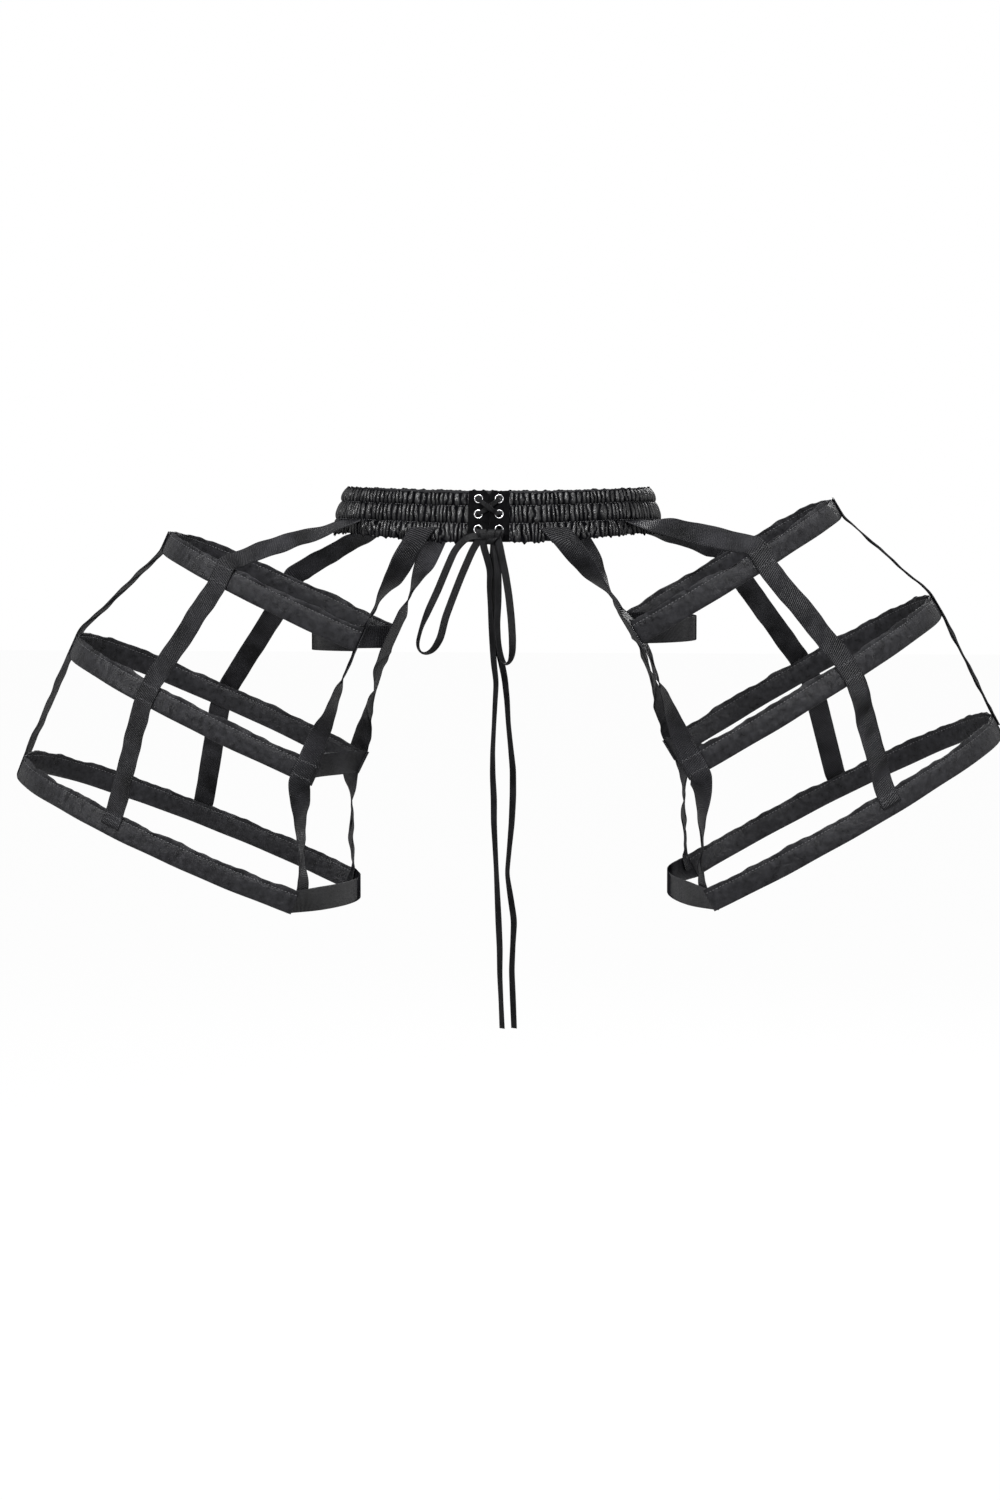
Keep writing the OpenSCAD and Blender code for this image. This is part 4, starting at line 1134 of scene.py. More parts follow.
def satin_grid():
    """The satin's rings, the distances along and across it, and its mask of painted shade in the valleys."""
    t = round_waist(SATIN_COLUMNS, UNDER_PANEL)
    rows, shade_rows = [], []
    tuck = np.clip(np.minimum(t - t[0], t[-1] - t) / END_REACH, END_LEFT, 1)
    for z, channel, share in channel_profile():
        arch = math.sin(math.pi * share) ** ARCH_FULLNESS if 0 < share < 1 else 0.0
        free_edge = 1.0 if abs(z) == HALF_BAND else 0.0
        stand = folds(t, channel, share, SATIN_SEED)
        uneven = varied(t, UNEVEN, SATIN_SEED + channel)
        depth = FOLD_DEPTH * mix(SEAM_DEPTH, 1, arch) * uneven + EDGE_SWELL * free_edge
        fullness = varied(t, FULLNESS, SATIN_SEED + channel)
        puff = CHANNEL_PUFF * (arch + EDGE_SWELL * free_edge) * fullness
        relief = (puff + depth * (stand - FOLD_MIDDLE)) * tuck * pressed(t, channel)
        offset = GATHERED_OFFSET + GATHERED_CLOTH + np.maximum(relief, DEEPEST)
        wander = waves(t, (ROW_WANDER,), SATIN_SEED + channel) * (1 - arch)
        below = int(z < 0)
        frill = free_edge * FRILL_BY[below] * ripple(t, FRILL, SATIN_SEED + 80 + below)
        rows.append(settled(t, offset, z, wander + frill))
        # Painted shade: the mask is low in the valleys, lower near the seams and 0 on the satin's back.
        shade_rows.append(stand * mix(SHINE_LEFT_IN_SEAM_SHADE, 1, arch))
    back = [settled(t, np.full_like(t, GATHERED_OFFSET), z) for z in BACK_LEVELS]
    across = np.array([HALF_BAND - z for z, _, _ in channel_profile()] + BACK_ACROSS)
    return np.stack(rows + back, 1), t, across, np.stack(shade_rows + [np.zeros_like(t)] * len(back), 1)


grid, run, across, painted_valley_shade = satin_grid()
waist_satin = grid_mesh("waist_satin", grid, run, across, satin)
# The mask is stored on the satin's points; the shader paints shade where it is low.
valley_shade_mask = waist_satin.data.attributes.new("valley_shade_mask", "FLOAT", "POINT")
valley_shade_mask.data.foreach_set("value", painted_valley_shade.ravel())
finish_piece(waist_satin, "gathered_satin", "waistband_outer")

# %% [markdown]
# Behind the satin lies a plain lining that makes the channels' back wall. It shows only
# inside the waistband, seen from above. A flattened copy of the satin would carry all its
# folds; the lining's own are low, so it is a grid of its own that settles with the satin.

# %% Waistband lining
LINING_COLUMNS = 700
LINING_ROWS = 19
LINING_INSET = 0.5
LINING_FACE = 0.45
LINING_FOLD_DEPTH = 0.6
LINING_SEED = 600
SEAM_REACH = 5


def lining_grid():
    """The lining's rings and the distances along and across it. Low folds swell to the inside."""
    t = round_waist(LINING_COLUMNS, UNDER_PANEL)
    heights = np.linspace(HALF_BAND - LINING_INSET, -HALF_BAND + LINING_INSET, LINING_ROWS)
    inner, outer = [], []
    for z in heights:
        nearest = min(abs(z - UPPER_SEAM), abs(z - LOWER_SEAM))
        arch = min(1.0, nearest / SEAM_REACH)
        stand = folds(t, int(z < UPPER_SEAM) + int(z < LOWER_SEAM), arch, LINING_SEED)
        inner.append(settled(t, LINING_FACE - LINING_FOLD_DEPTH * stand * mix(SEAM_DEPTH, 1, arch), z))
        outer.append(settled(t, np.full_like(t, LINING_CLOTH), z))
    across = np.concatenate([HALF_BAND - heights, 3 * HALF_BAND + heights])
    return np.stack(inner + outer[::-1], 1), t, across


grid, run, across = lining_grid()
waist_lining = grid_mesh("waist_lining", grid, run, across, lining_cloth)
finish_piece(waist_lining, "lining", "waistband_lining")
print("lining faces:", len(waist_lining.data.polygons))

# %% [markdown]
# ## The elastics
# The elastics can't be seen, but they go where the channels go. Each is a knitted band
# that was pulled out by about a third when it was sewn in, which is what gathers the satin.

# %% Elastics
ELASTIC_HEIGHT = 9.0
ELASTIC_THICKNESS = 1.0
ELASTIC_COLUMNS = 360
ELASTIC_CLEAR = 0.5
# How much of its corners is taken off, up and through
CORNER = (0.2, 0.3)


def elastic_grid(z):
    """The rings of an elastic round a level, and the distances along and across it."""
    t = round_waist(ELASTIC_COLUMNS, ELASTIC_CLEAR)
    up, through = CORNER
    near, far = LINING_CLOTH + LAYER_GAP, LINING_CLOTH + LAYER_GAP + ELASTIC_THICKNESS
    low, high = z - ELASTIC_HEIGHT / 2, z + ELASTIC_HEIGHT / 2
    corners = (
        (far, high - up), (far, z), (far, low + up), (far - through, low), (near + through, low),
        (near, low + up), (near, z), (near, high - up), (near + through, high), (far - through, high))
    grid = np.stack([settled(t, np.full_like(t, offset), level) for offset, level in corners], 1)
    return grid, t, np.array([high - level for _, level in corners])


for channel, level in enumerate(("upper", "middle", "lower")):
    grid, run, across = elastic_grid((CHANNEL_EDGES[channel] + CHANNEL_EDGES[channel + 1]) / 2)
    piece = grid_mesh(f"band_elastic_{level}", grid, run, across, elastic_knit)
    finish_piece(piece, "elastic", f"elastic_{level}")

# %% [markdown]
# ## Eyelet panels and eyelets
# The panels are stiffened cloth, so their solids already have the right form. Each is
# copied, its doubled points are merged and its edges are rounded. Six like eyelets are a
# job for Geometry Nodes: one small shape, put on six points, each facing outwards.

# %% Eyelet panels
MERGE_DISTANCE = 0.00002
EDGE_RADIUS = 0.0003
EDGE_SEGMENTS = 3
EDGE_ANGLE = math.radians(50)
# Like the satin, a panel settles at its two ends: at which heights, and by how much
PANEL_SETTLES_AT = (-HALF_BAND, -17.3, 15, HALF_BAND)
PANEL_SETTLES_BY = (-3.2, 0, 0, -2.4)


def panel_copy(side):
    """A panel made from its solid, with round edges and a cloth map."""
    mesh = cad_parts[f"eyelet_panel_{side}"].data.copy()
    mesh.name = f"panel_{side}"
    rework(mesh, lambda work: bmesh.ops.remove_doubles(work, verts=work.verts, dist=MERGE_DISTANCE))
    mesh.materials.clear()
    mesh.materials.append(panel_cloth)
    piece = link_mesh(mesh.name, mesh)
    bevel = piece.modifiers.new("round edges", "BEVEL")
    bevel.width, bevel.segments, bevel.limit_method = EDGE_RADIUS, EDGE_SEGMENTS, "ANGLE"
    bevel.angle_limit = EDGE_ANGLE
    keep_result(piece)
    for vertex in piece.data.vertices:
        vertex.co.z += float(np.interp(vertex.co.z / MM, PANEL_SETTLES_AT, PANEL_SETTLES_BY)) * MM
    layer = piece.data.uv_layers.new(name="cloth")
    for loop in piece.data.loops:
        x, _, z = piece.data.vertices[loop.vertex_index].co
        layer.data[loop.index].uv = (x, z)
    return piece


for side in SIDES:
    panel = panel_copy(side)
    finish_piece(panel, "eyelet_panel", f"eyelet_panel_{side}")
print("panels:", len(SIDES), "and the last has", len(panel.data.polygons), "faces")

# %% [markdown]
# Eyelets and stitches are one small shape repeated many times, which is what Geometry
# Nodes are good at. Copying meshes in a loop would work too, but a node tree with named
# inputs can be tried out by hand. The helpers below start a tree, make the points it
# works on and turn its result into a plain mesh.

# %% Geometry Nodes helpers
def new_tree(name, material, **sizes):
    """A tree that takes a geometry, sizes in metres and a material, with its group input."""
    tree = bpy.data.node_groups.new(name, "GeometryNodeTree")
    tree.interface.new_socket("Geometry", in_out="INPUT", socket_type="NodeSocketGeometry")
    for label, value in sizes.items():
        label = label.replace("_", " ")
        socket = tree.interface.new_socket(label, in_out="INPUT", socket_type="NodeSocketFloat")
        socket.default_value = value
    tree.interface.new_socket(material, in_out="INPUT", socket_type="NodeSocketMaterial")
    tree.interface.new_socket("Geometry", in_out="OUTPUT", socket_type="NodeSocketGeometry")
    return tree, tree.nodes.new("NodeGroupInput")


def facing_turn(tree):
    """The turn that brings Z to the direction in which each point faces."""
    facing = add_node(tree, "GeometryNodeInputNamedAttribute", {"Name": "facing"},
                      data_type="FLOAT_VECTOR")
    turn = add_node(tree, "FunctionNodeAlignRotationToVector", {"Vector": facing.outputs[0]}, axis="Z")
    return turn.outputs[0]


def place_all(tree, points, shape, turn, material):
    """The end of a tree: a shape on every point, made real, smooth and of one material."""
    placed = add_node(tree, "GeometryNodeInstanceOnPoints",
                      {"Points": points, "Instance": shape, "Rotation": turn})
    real = add_node(tree, "GeometryNodeRealizeInstances", {"Geometry": placed.outputs[0]})
    smooth = add_node(tree, "GeometryNodeSetShadeSmooth", {"Geometry": real.outputs[0]})
    painted = add_node(tree, "GeometryNodeSetMaterial",
                       {"Geometry": smooth.outputs[0], "Material": material})
    end = tree.nodes.new("NodeGroupOutput")
    tree.links.new(painted.outputs[0], end.inputs[0])


def grown(name, mesh, tree, values):
    """The tree run once over a mesh, as a plain piece. values go in by socket name."""
    piece = link_mesh(name, mesh)
    modifier = piece.modifiers.new(tree.name, "NODES")
    modifier.node_group = tree
    for item in tree.interface.items_tree:
        if item.in_out == "INPUT" and item.name in values:
            modifier[item.identifier] = values[item.name]
    keep_result(piece)
    return piece


def facing_points(name, points, facing, edges=()):
    """A mesh of loose points or lines that carries the direction each one faces."""
    mesh = bpy.data.meshes.new(name)
    mesh.from_pydata((np.asarray(points) * MM).tolist(), list(edges), [])
    attribute = mesh.attributes.new("facing", "FLOAT_VECTOR", "POINT")
    attribute.data.foreach_set("vector", np.asarray(facing, float).ravel())
    return mesh


print("node groups so far:", len(bpy.data.node_groups))

# %% [markdown]
# An eyelet is a rolled metal ring with a short barrel through the cloth. It could be cut
# from the solid part, but its roll is round and polished, so a torus and a tube are
# placed on six points, each turned to face out of its panel.

# %% Eyelets
RING_STEPS = 48
RIM_STEPS = 14


def make_eyelet_tree():
    tree, start = new_tree("eyelets on points", "Metal", Ring_radius=0.0037, Rim_radius=0.0008,
                           Barrel_radius=0.0029, Barrel_length=0.004)
    ring, rim = (add_node(tree, "GeometryNodeCurvePrimitiveCircle",
                          {"Resolution": steps, "Radius": start.outputs[size]}).outputs[0]
                 for steps, size in ((RING_STEPS, "Ring radius"), (RIM_STEPS, "Rim radius")))
    torus = add_node(tree, "GeometryNodeCurveToMesh", {"Curve": ring, "Profile Curve": rim})
    length = start.outputs["Barrel length"]
    barrel = add_node(tree, "GeometryNodeMeshCylinder", {
        "Vertices": RING_STEPS, "Radius": start.outputs["Barrel radius"], "Depth": length}, fill_type="NONE")
    shift = add_node(tree, "ShaderNodeCombineXYZ", {"Z": math_node(tree, "MULTIPLY", length, -0.5)})
    sunk = add_node(tree, "GeometryNodeTransform",
                    {"Geometry": barrel.outputs[0], "Translation": shift.outputs[0]})
    both = add_node(tree, "GeometryNodeJoinGeometry")
    for part in (torus, sunk):
        tree.links.new(part.outputs[0], both.inputs[0])
    place_all(tree, start.outputs["Geometry"], both.outputs[0], facing_turn(tree), start.outputs["Metal"])
    return tree


EYELET_TURN = math.asin(EYELET_INSET / FRONT_RADIUS)
EYELET_ROWS = [EYELET_TOP - k * EYELET_PITCH for k in range(3)]
PANEL_LEAN = math.atan(BAND_FLARE / BAND_HEIGHT)


def eyelet_spot(side, z, offset):
    """Centre and outward direction of an eyelet, offset from the waist line."""
    out = mirrored(side, [math.sin(EYELET_TURN) * math.cos(PANEL_LEAN),
                          -math.cos(EYELET_TURN) * math.cos(PANEL_LEAN), math.sin(PANEL_LEAN)])
    reach = FRONT_RADIUS + lean(z)
    base = [reach * math.sin(EYELET_TURN), FRONT_CENTRE - reach * math.cos(EYELET_TURN), z]
    return mirrored(side, base) + out * offset, out


RIM_RADIUS = 0.4
RING_RADIUS = EYELET_HOLE + EYELET_METAL + 0.45
BARREL_LENGTH = 1.0
RIM_CENTRE = PANEL_THICKNESS + LAYER_GAP / 2 + 0.3
spots = [eyelet_spot(side, z, RIM_CENTRE) for side in SIDES for z in EYELET_ROWS]
eyelet_points = facing_points("eyelets", [p for p, _ in spots], [f for _, f in spots])
metal_eyelets = grown("metal_eyelets", eyelet_points, make_eyelet_tree(), {
    "Ring radius": RING_RADIUS * MM, "Rim radius": RIM_RADIUS * MM, "Metal": silver,
    "Barrel radius": (EYELET_HOLE + EYELET_METAL) * MM, "Barrel length": BARREL_LENGTH * MM})
finish_piece(metal_eyelets, "eyelet", "eyelets")
print("eyelet faces:", len(metal_eyelets.data.polygons))

# %% [markdown]
# ## The lace
# One flat lace closes the front. It lies behind the panels at the top, crosses in front,
# dives through the middle eyelets, and comes out of the lower ones into a bow. The
# crossed part and the knot are ribbons too. The loops and the tails are limp and hang
# free, and they turn as they fall.

# %% Crossed lacing
LACE_FRONT = PANEL_THICKNESS + LAYER_GAP * 1.5 + EYELET_METAL * 1.5 + LACE_THICKNESS / 2
LACE_BACK = -(LAYER_GAP * 2.5 + EYELET_METAL + LACE_THICKNESS / 2)
KNOT_HALF = np.array([9.5, 3.2, 5.8])
KNOT_AT = np.array([2.0, -(WAIST_HALF_DEPTH + lean(-HALF_BAND) + LACE_FRONT + 1.5 * LACE_THICKNESS
                           + LAYER_GAP + KNOT_HALF[1]), 0.8 - HALF_BAND])
LACING_STEP = 0.6
LACING_ROUNDING = 0.9
RAISED_BY = 2.2 * LACE_THICKNESS
IN_HOLE = LACE_WIDTH * 0.6
NEAR_HOLE = LACE_WIDTH * 0.8
CROSS_ANGLE = math.degrees(math.atan2(EYELET_PITCH, 2 * EYELET_INSET)) - 90


def through_hole(x, z, into_front, angle):
    """The rows of the route through an eyelet, inwards or outwards."""
    steps = [(LACE_FRONT + LACE_THICKNESS / 2, angle), (PANEL_THICKNESS * 0.75, 0),
             (PANEL_THICKNESS * 0.25, 0), (LACE_BACK, 0)]
    order = steps if into_front else steps[::-1]
    return [(x, z, offset, IN_HOLE, turn) for offset, turn in order]


# Half of the lace's route, from the middle of its top to its end at the knot; the other half
# is mirrored. Each row says where the lace is, how far out, how wide and how turned.
lace_half = (
    [(0, EYELET_ROWS[0], LACE_BACK, NEAR_HOLE, 90),
     (EYELET_INSET * 0.6, EYELET_ROWS[0], LACE_BACK, IN_HOLE, 70)]
    + through_hole(EYELET_INSET, EYELET_ROWS[0], False, CROSS_ANGLE)
    + [(mix(EYELET_INSET, -EYELET_INSET, share), mix(EYELET_ROWS[0], EYELET_ROWS[1], share),
        LACE_FRONT, LACE_WIDTH if share == 0.5 else NEAR_HOLE, CROSS_ANGLE)
       for share in (0.16, 0.3, 0.5, 0.7, 0.84)]
    + through_hole(-EYELET_INSET, EYELET_ROWS[1], True, CROSS_ANGLE)
    + [(-EYELET_INSET, mix(EYELET_ROWS[1], EYELET_ROWS[2], 0.5), LACE_BACK, NEAR_HOLE, 0)]
    + through_hole(-EYELET_INSET, EYELET_ROWS[2], False, 60)
    + [(-EYELET_INSET + 1.2, EYELET_ROWS[2] - 2.2, LACE_FRONT + LACE_THICKNESS * 1.4, LACE_WIDTH, 20),
       (-EYELET_INSET + 3.4, EYELET_ROWS[2] - 4.6, LACE_FRONT + LACE_THICKNESS * 2.2, LACE_WIDTH, 25)]
)


def lace_station(row, flip):
    """A row of the route as a point, a direction across and a width, mirrored if flip is set."""
    x, z, offset, width, angle = row
    raised = flip and abs(x) < EYELET_INSET / 2 and offset == LACE_FRONT
    out = FRONT_RADIUS + offset + (RAISED_BY if raised else 0) + lean(z)
    x, angle = (-x, 180 - angle) if flip else (x, angle)
    turn = math.radians(angle)
    centre = np.array([x, FRONT_CENTRE - math.sqrt(out ** 2 - x ** 2), z])
    return centre, np.array([math.cos(turn), 0, math.sin(turn)]), width


def lace_band(name, place, across, width, thickness=LACE_THICKNESS, wave=0.0, seed=0):
    """A piece of flat lace along dense rows of centres, and its length."""
    across = square_to(unit(np.gradient(place, axis=0)), across)
    grid, s, across_run = ribbon_grid(place, across, width, thickness, wave, seed)
    return grid_mesh(name, grid, s, across_run, lace_cloth), float(s[-1])


route = [lace_station(row, True) for row in lace_half[:0:-1]]
route += [lace_station(row, False) for row in lace_half]
place, across, fine, _ = sampled([(c, a) for c, a, _ in route], LACING_STEP, LACING_ROUNDING)
lace_widths = np.interp(fine, run_along([c for c, _, _ in route]), [w for _, _, w in route])
crossed_lace, length = lace_band("crossed_lace", place, across, lace_widths)
finish_piece(crossed_lace, "lace", "lacing")
print("crossed lace:", round(length), "mm")

# %% [markdown]
# The bow's loops and tails follow the routes of the solid model, but each starts further in,
# at the knot. A row is a point, and how far the lace has turned there away from facing
# forwards, in degrees.

# %% Bow cords
LEFT_LOOP = (
    (-3, 0, -19, 10), (-9, 0, -19, 15), (-15, 0, -19, 30), (-21, 0, -23, 25), (-28, 0, -31, 12),
    (-35, 0, -47, 0), (-42, 0, -64, 0), (-50, 0, -81, 20), (-56, 0, -95, 60), (-60, 0, -110, 60),
    (-58, 0, -117, 70), (-53, 0, -119, 70), (-46, 0, -115, 45), (-40, 0, -105, 10), (-36, 0, -88, 0),
    (-30, 0, -72, 0), (-23, 0, -54, 0), (-17, 0, -40, 0), (-13, 0, -31, 5), (-9, 0, -24, 10),
    (-5, 0, -20, 10))
RIGHT_LOOP = (
    (8, 1, -20, 10), (10, 3, -26, 5), (12, 4, -36, 10), (15, 4, -50, 5), (18, 4, -69, 0),
    (20, 4, -88, 0), (21, 4, -104, 0), (21, 4, -117, 25), (19, 4, -125, 60), (15, 4, -128, 70),
    (11, 4, -120, 45), (9, 4, -108, 50), (8, 4, -92, 40), (9, 4, -73, 30), (9, 4, -54, 25),
    (8, 3, -40, 25), (6, 1, -27, 20), (5, 0, -21, 20))
LEFT_TAIL = (
    (-4, 0, -21, 10), (-4, 0, -27, 10), (-1, 0, -36, 15), (2, 0, -48, 30), (1, 0, -62, 50),
    (2, 0, -78, 50), (3, 0, -94, 35), (4, 0, -110, 30), (5, 0, -126, 35), (7, 0, -142, 45),
    (6, 0, -160, 50), (5, 0, -180, 55), (4, 0, -200, 50), (4, 0, -220, 40), (5, 0, -240, 30),
    (5, 0, -260, 35), (6, 0, -280, 45), (7, 0, -300, 50), (8, 0, -322, 40), (9, 0, -345, 30),
    (10, 0, -368, 35), (10, 0, -390, 45), (11, 0, -412, 50), (12, 0, -436, 45))
RIGHT_TAIL = (
    (5, -1, -21, 10), (5, -1, -27, 10), (4, -2, -37, 20), (3, -2, -48, 40), (4, -2, -62, 55),
    (5, -2, -78, 55), (5, -2, -94, 40), (7, -2, -108, 30), (11, -2, -124, 25), (14, -2, -138, 30),
    (16, -2, -157, 40), (17, -2, -176, 50), (19, -2, -196, 45), (21, -2, -216, 30), (21, -2, -238, 25),
    (20, -2, -260, 35), (18, -2, -282, 50), (16, -2, -304, 55), (19, -2, -324, 35), (22, -2, -344, 30),
    (21, -2, -364, 45), (20, -2, -386, 40), (21, -2, -411, 35), (22, -2, -436, 40))


# Free of the eyelets, the lace lies a little broader
LACE_SPREAD = 1.25
CORD_STEP = 2.0
CORD_ROUNDING = 6.0


def hanging_lace(name, rows, node):
    points = np.array([(x, KNOT_AT[1] - forward, z) for x, forward, z, _ in rows], float)
    way = unit(np.gradient(points, axis=0))
    sideways = unit(np.cross(way, np.array([0, 1.0, 0])))
    across = turned(sideways, way, np.radians([row[3] for row in rows]))
    place, across, _, _ = sampled(list(zip(points, across)), CORD_STEP, CORD_ROUNDING)
    piece, length = lace_band(name, place, across, LACE_WIDTH * LACE_SPREAD)
    finish_piece(piece, "lace", node)
    print(name, round(length), "mm")


hanging_lace("loop_left", LEFT_LOOP, "bow_loop_left")
hanging_lace("loop_right", RIGHT_LOOP, "bow_loop_right")
hanging_lace("tail_left", LEFT_TAIL, "lace_tail_left")
hanging_lace("tail_right", RIGHT_TAIL, "lace_tail_right")

# %% [markdown]
# The knot is the lace wound over itself in front of the lowest eyelets. A real knot would
# need a simulation of a rope in contact with itself; seen from outside it is a few flat
# turns of lace round a small core, so a few short wraps are drawn out of the same flat
# band as the lace.

# %% Bow knot
# Each wrap of the knot: its centre beside the knot's, half its depth and height, its tilt in
# degrees, its width, and the angles between which it shows
WRAPS = (
    ((0.4, 0, 1.2), 3.1, 5.4, 14, 6.8, -200, 160),
    ((-4.8, 0.3, 2.2), 2.6, 4.6, -28, 6.4, -190, 150),
    ((5.0, 0.3, 1.6), 2.6, 4.8, 26, 6.4, -190, 150),
    ((-8.2, 0.5, 3.4), 1.7, 3.3, -14, 5.2, -180, 170),
    ((8.6, 0.4, 2.6), 1.7, 3.7, 16, 5.0, -180, 170),
    ((1.2, -0.5, -2.4), 2.7, 3.0, 50, 5.2, -170, 150),
)
WRAP_STEPS = 48
WRAP_TILT_REACH = 4.0
WRAP_SLANT = 0.15
WRAP_WAVE = 0.15
WRAP_THICKNESS = LACE_THICKNESS * 1.1


def make_wrap(k, shift, half_y, half_z, tilt, width, start, stop):
    """A lace wound round the knot, from one angle to another, tilted across it."""
    angles = np.radians(np.linspace(start, stop, WRAP_STEPS))
    ring = np.stack([math.sin(math.radians(tilt)) * WRAP_TILT_REACH * np.sin(angles),
                     -half_y * np.cos(angles), half_z * np.sin(angles)], -1)
    across = unit(np.stack([np.ones_like(angles), 0 * angles, WRAP_SLANT * np.sin(angles * 2)], -1))
    piece, _ = lace_band(f"knot_wrap_{k}", KNOT_AT + np.array(shift) + ring, across, width,
                         WRAP_THICKNESS, wave=WRAP_WAVE, seed=700 + k)
    return piece


def make_knot():
    parts = [make_wrap(k, *row) for k, row in enumerate(WRAPS)]
    work = bmesh.new()
    for part in parts:
        work.from_mesh(part.data)
    mesh = bpy.data.meshes.new("knot")
    for part in parts:
        bpy.data.objects.remove(part)
    work.to_mesh(mesh)
    work.free()
    mesh.materials.append(lace_cloth)
    return link_mesh("knot", mesh)


knot = make_knot()
finish_piece(knot, "lace", "bow_knot")
print("knot faces:", len(knot.data.polygons))

# %% [markdown]
# ## Stitches
# Rows of stitches hold everything together: along every casing, across each strap where
# it meets a hoop, and round the waistband's seams. Each row is a line on the cloth that
# carries the direction it faces. Geometry Nodes walk along the lines and lay one small
# rounded stitch at each step.

# %% Stitch tree
def make_stitch_tree():
    tree, start = new_tree("stitches on lines", "Thread", Pitch=0.003, Length=0.002, Thickness=0.0004)
    thickness = start.outputs["Thickness"]
    curve = add_node(tree, "GeometryNodeMeshToCurve", {"Mesh": start.outputs["Geometry"]})
    steps = add_node(tree, "GeometryNodeResampleCurve",
                     {"Curve": curve.outputs[0], "Length": start.outputs["Pitch"]}, mode="LENGTH")
    ball = add_node(tree, "GeometryNodeMeshUVSphere", {"Segments": 6, "Rings": 4, "Radius": 0.5})
    size = add_node(tree, "ShaderNodeCombineXYZ",
                    {"X": start.outputs["Length"], "Y": thickness, "Z": thickness})
    shaped = add_node(tree, "GeometryNodeTransform",
                      {"Geometry": ball.outputs[0], "Scale": size.outputs[0]})
    tangent = add_node(tree, "GeometryNodeInputTangent")
    along = add_node(tree, "FunctionNodeAlignRotationToVector",
                     {"Rotation": facing_turn(tree), "Vector": tangent.outputs[0]},
                     axis="X", pivot_axis="Z")
    place_all(tree, steps.outputs[0], shaped.outputs[0], along.outputs[0], start.outputs["Thread"])
    return tree


stitch_tree = make_stitch_tree()
print("stitch tree nodes:", len(stitch_tree.nodes))


def stitched(name, lines, slot, pitch, length, thickness):
    """Stitches along lines, each a pair of points and directions faced."""
    points, facing, edges = [], [], []
    for line_points, line_facing in lines:
        first = len(points)
        points += list(line_points)
        facing += list(line_facing)
        edges += [(k, k + 1) for k in range(first, len(points) - 1)]
    mesh = facing_points(name, points, facing, edges)
    piece = grown(name, mesh, stitch_tree, {
        "Pitch": pitch * MM, "Length": length * MM, "Thickness": thickness * MM, "Thread": thread_cloth})
    piece.data.uv_layers.new(name="cloth")
    finish_piece(piece, slot)
    print(name, len(piece.data.polygons), "faces")

# %% [markdown]
# One long row of stitches holds each casing shut above its bone. It follows the hoop's
# outline at the height of the seam, on both faces.

# %% Stitches along the casings
# The pitch, length and thickness of the stitches, and how far out of the outline they lie
CASING_STITCH = (3.2, 2.5, 0.6)
CASING_STITCH_OUT = 0.72
SEAM_END = 2
SEAM_STEP = 3


def casing_seam(side, i, face):
    length = hoop_length(i)
    s = np.linspace(SEAM_END, length - SEAM_END, int(length / SEAM_STEP))
    point, out = hoop_outline(i, s)
    local = point + out * (face * CASING_STITCH_OUT) + UP * SEAM_AT
    return hoop_point(side, i, local), hoop_vector(side, i, face * out)


seams = [casing_seam(side, i, face) for side in SIDES for i in range(3) for face in (1, -1)]
stitched("casing_stitches", seams, "casing_satin", *CASING_STITCH)

# %% [markdown]
# Where a strap crosses a casing it is sewn down with two zigzag rows. The rows lie on the
# strap, so their places come from the strap's own crossing with the hoop.

# %% Stitches across the straps
STRAP_STITCH = (1.7, 1.5, 0.4)
ZIGZAG_POINTS = 13
ZIGZAG_HEIGHT = 0.8
ZIGZAG_INSET = 1.5
ZIGZAG_LIFT = 0.12
# Heights of the two rows on a casing that a strap passes over, and on the one where it ends
PASSING_ROWS = (LIP_TOP - 3.5, -LIP_TOP + 4)
ENDING_ROWS = (LIP_TOP - 3, LIP_TOP - 7.5)


def strap_bars(side, i, place):
    """Two zigzag rows across a strap where it lies on a casing."""
    point, off, along = place
    reach = STRAP_WIDTH / 2 - ZIGZAG_INSET
    at = np.linspace(-reach, reach, ZIGZAG_POINTS)[:, None]
    lines = []
    for height in ENDING_ROWS if i == 2 else PASSING_ROWS:
        zigzag = height + ZIGZAG_HEIGHT * np.where(np.arange(ZIGZAG_POINTS) % 2, 1, -1)
        lift = STRAP_LIFT + STRAP_THICKNESS / 2 + ZIGZAG_LIFT
        local = point + off * lift + along * at + UP * zigzag[:, None]
        facing = np.tile(hoop_vector(side, i, off), (ZIGZAG_POINTS, 1))
        lines.append((hoop_point(side, i, local), facing))
    return lines


def crossings(side):
    rows = [(1, band_place(1, INNER_STRAP_AT, face)) for face in (-1, 1)]
    for i in range(3):
        sides = [(i, band_place(i, strap_at(side, i, face), face)) for face in (-1, 1)]
        rows += [(i, tip_place(i)), *sides]
    return rows


bars = [line for side in SIDES for i, place in crossings(side) for line in strap_bars(side, i, place)]
stitched("strap_stitches", bars, "ribbon", *STRAP_STITCH)

# %% [markdown]
# The seams between the channels sink between the puffs, so their stitches show only as a
# dotted line. They follow the same settled oval as the satin.

# %% Stitches round the waistband
WAIST_STITCH = (2.4, 1.7, 0.45)
WAIST_STITCH_OUT = 0.35
WAIST_SEAM_POINTS = 700


def waist_seam(z):
    t = round_waist(WAIST_SEAM_POINTS, 1)
    points = settled(t, GATHERED_OFFSET + GATHERED_CLOTH + WAIST_STITCH_OUT, z)
    ahead = oval(t + 0.5, 0, z) - oval(t - 0.5, 0, z)
    return points, unit(np.cross(ahead, UP))


seams = [waist_seam(UPPER_SEAM), waist_seam(LOWER_SEAM)]
stitched("waist_stitches", seams, "gathered_satin", *WAIST_STITCH)

# %% [markdown]
# ## Stage and light
# A pale floor and a white world, and soft lamps: one from the front left, a weaker one from
# the right, one from above and one from behind.

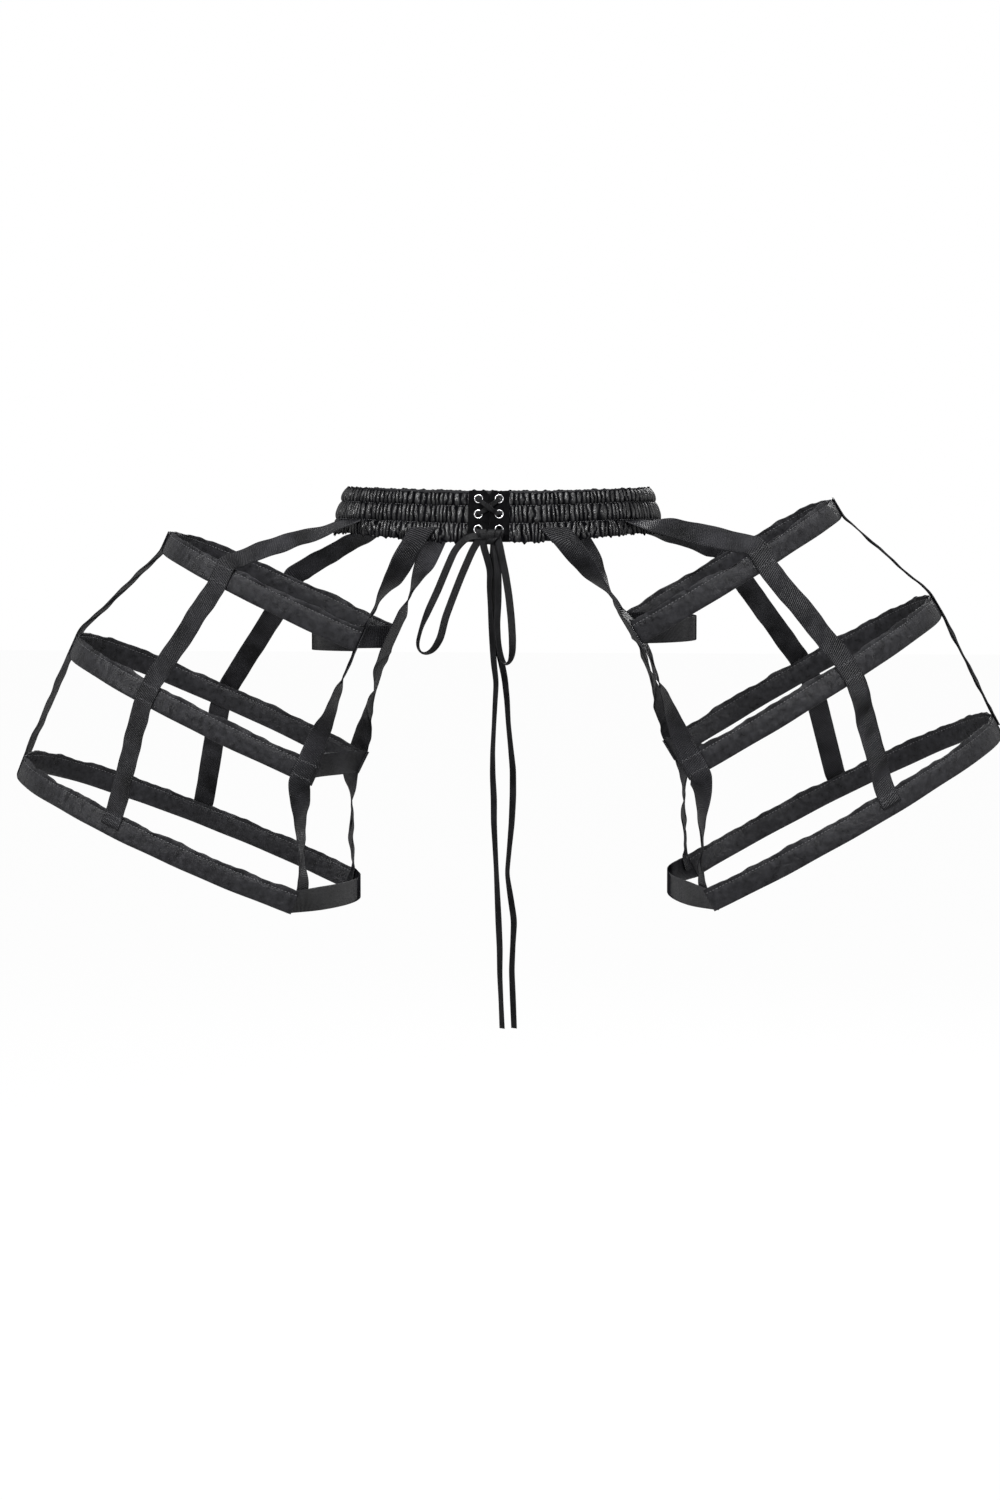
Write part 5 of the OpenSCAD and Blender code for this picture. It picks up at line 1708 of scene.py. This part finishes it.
# %% Stage
FLOOR_Z = -0.95
WIDE = 14.0
FLOOR_GREY = (0.82, 0.82, 0.82, 1)
FLOOR_GLOW = 0.97
FLOOR_ROUGHNESS = 0.9
WORLD_LIGHT = 0.2


def seen_plainly(tree):
    """1 where the surroundings are seen, directly, mirrored or through something, and 0 where they light."""
    path = add_node(tree, "ShaderNodeLightPath")
    seen = math_node(tree, "MAXIMUM", path.outputs["Is Camera Ray"], path.outputs["Is Glossy Ray"])
    return math_node(tree, "MAXIMUM", seen, path.outputs["Is Transmission Ray"])


def make_white():
    """Pale cloth of a studio: white to the camera and in reflections, and softly shaded."""
    material = bpy.data.materials.new("studio white")
    material.use_nodes = True
    tree = material.node_tree
    principled = tree.nodes["Principled BSDF"]
    principled.inputs["Base Color"].default_value = FLOOR_GREY
    principled.inputs["Roughness"].default_value = FLOOR_ROUGHNESS
    glow = add_node(tree, "ShaderNodeEmission", {"Color": (1, 1, 1, 1), "Strength": 1.0})
    share = math_node(tree, "MULTIPLY", seen_plainly(tree), FLOOR_GLOW)
    blend = add_node(tree, "ShaderNodeMixShader",
                     {0: share, 1: principled.outputs[0], 2: glow.outputs[0]})
    tree.links.new(blend.outputs[0], tree.nodes["Material Output"].inputs["Surface"])
    return material


def make_floor():
    mesh = bpy.data.meshes.new("floor")
    corners = [(x * WIDE, y * WIDE, FLOOR_Z) for x, y in ((-1, -1), (1, -1), (1, 1), (-1, 1))]
    mesh.from_pydata(corners, [], [(0, 1, 2, 3)])
    mesh.materials.append(make_white())
    return link_mesh("floor", mesh)


floor = make_floor()

world = bpy.data.worlds.new("studio")
bpy.context.scene.world = world
world.use_nodes = True
sky = world.node_tree
background = sky.nodes["Background"]
background.inputs["Color"].default_value = (1, 1, 1, 1)
sky.links.new(remap(sky, seen_plainly(sky), 0, 1, WORLD_LIGHT, 1.0), background.inputs["Strength"])
print("floor at", FLOOR_Z, "m, world light", WORLD_LIGHT)

# %% [markdown]
# The photograph's light is soft and even, with a slightly brighter side. The lamp on that
# side is the smallest, so that ribs and folds stand out; wide lamps at the other side and
# above soften the rest. A fourth lights the back, which the front view doesn't see.

# %% Lamps
LIT_POINT = Vector((0, 0, -0.2))
# Each lamp's place and size in metres, and its power in watts
LAMPS = {
    "key": ((-0.9, -2.3, 1.4), (0.6, 0.6), 125),
    "fill": ((2.2, -2.0, 0.5), (1.2, 1.2), 38),
    "top": ((0.2, -0.9, 2.2), (1.6, 1.0), 120),
    "back": ((0.5, 2.5, 1.1), (1.4, 1.4), 60),
}
for name, (place, size, power) in LAMPS.items():
    light = bpy.data.lights.new(name, "AREA")
    light.shape, light.size, light.size_y, light.energy = "RECTANGLE", *size, power
    lamp = bpy.data.objects.new(name, light)
    lamp.location = place
    lamp.rotation_euler = (LIT_POINT - Vector(place)).to_track_quat("-Z", "Y").to_euler()
    bpy.context.scene.collection.objects.link(lamp)
bpy.context.scene.view_settings.view_transform = "Standard"
print("lamps:", {name: power for name, (_, _, power) in LAMPS.items()}, "W")
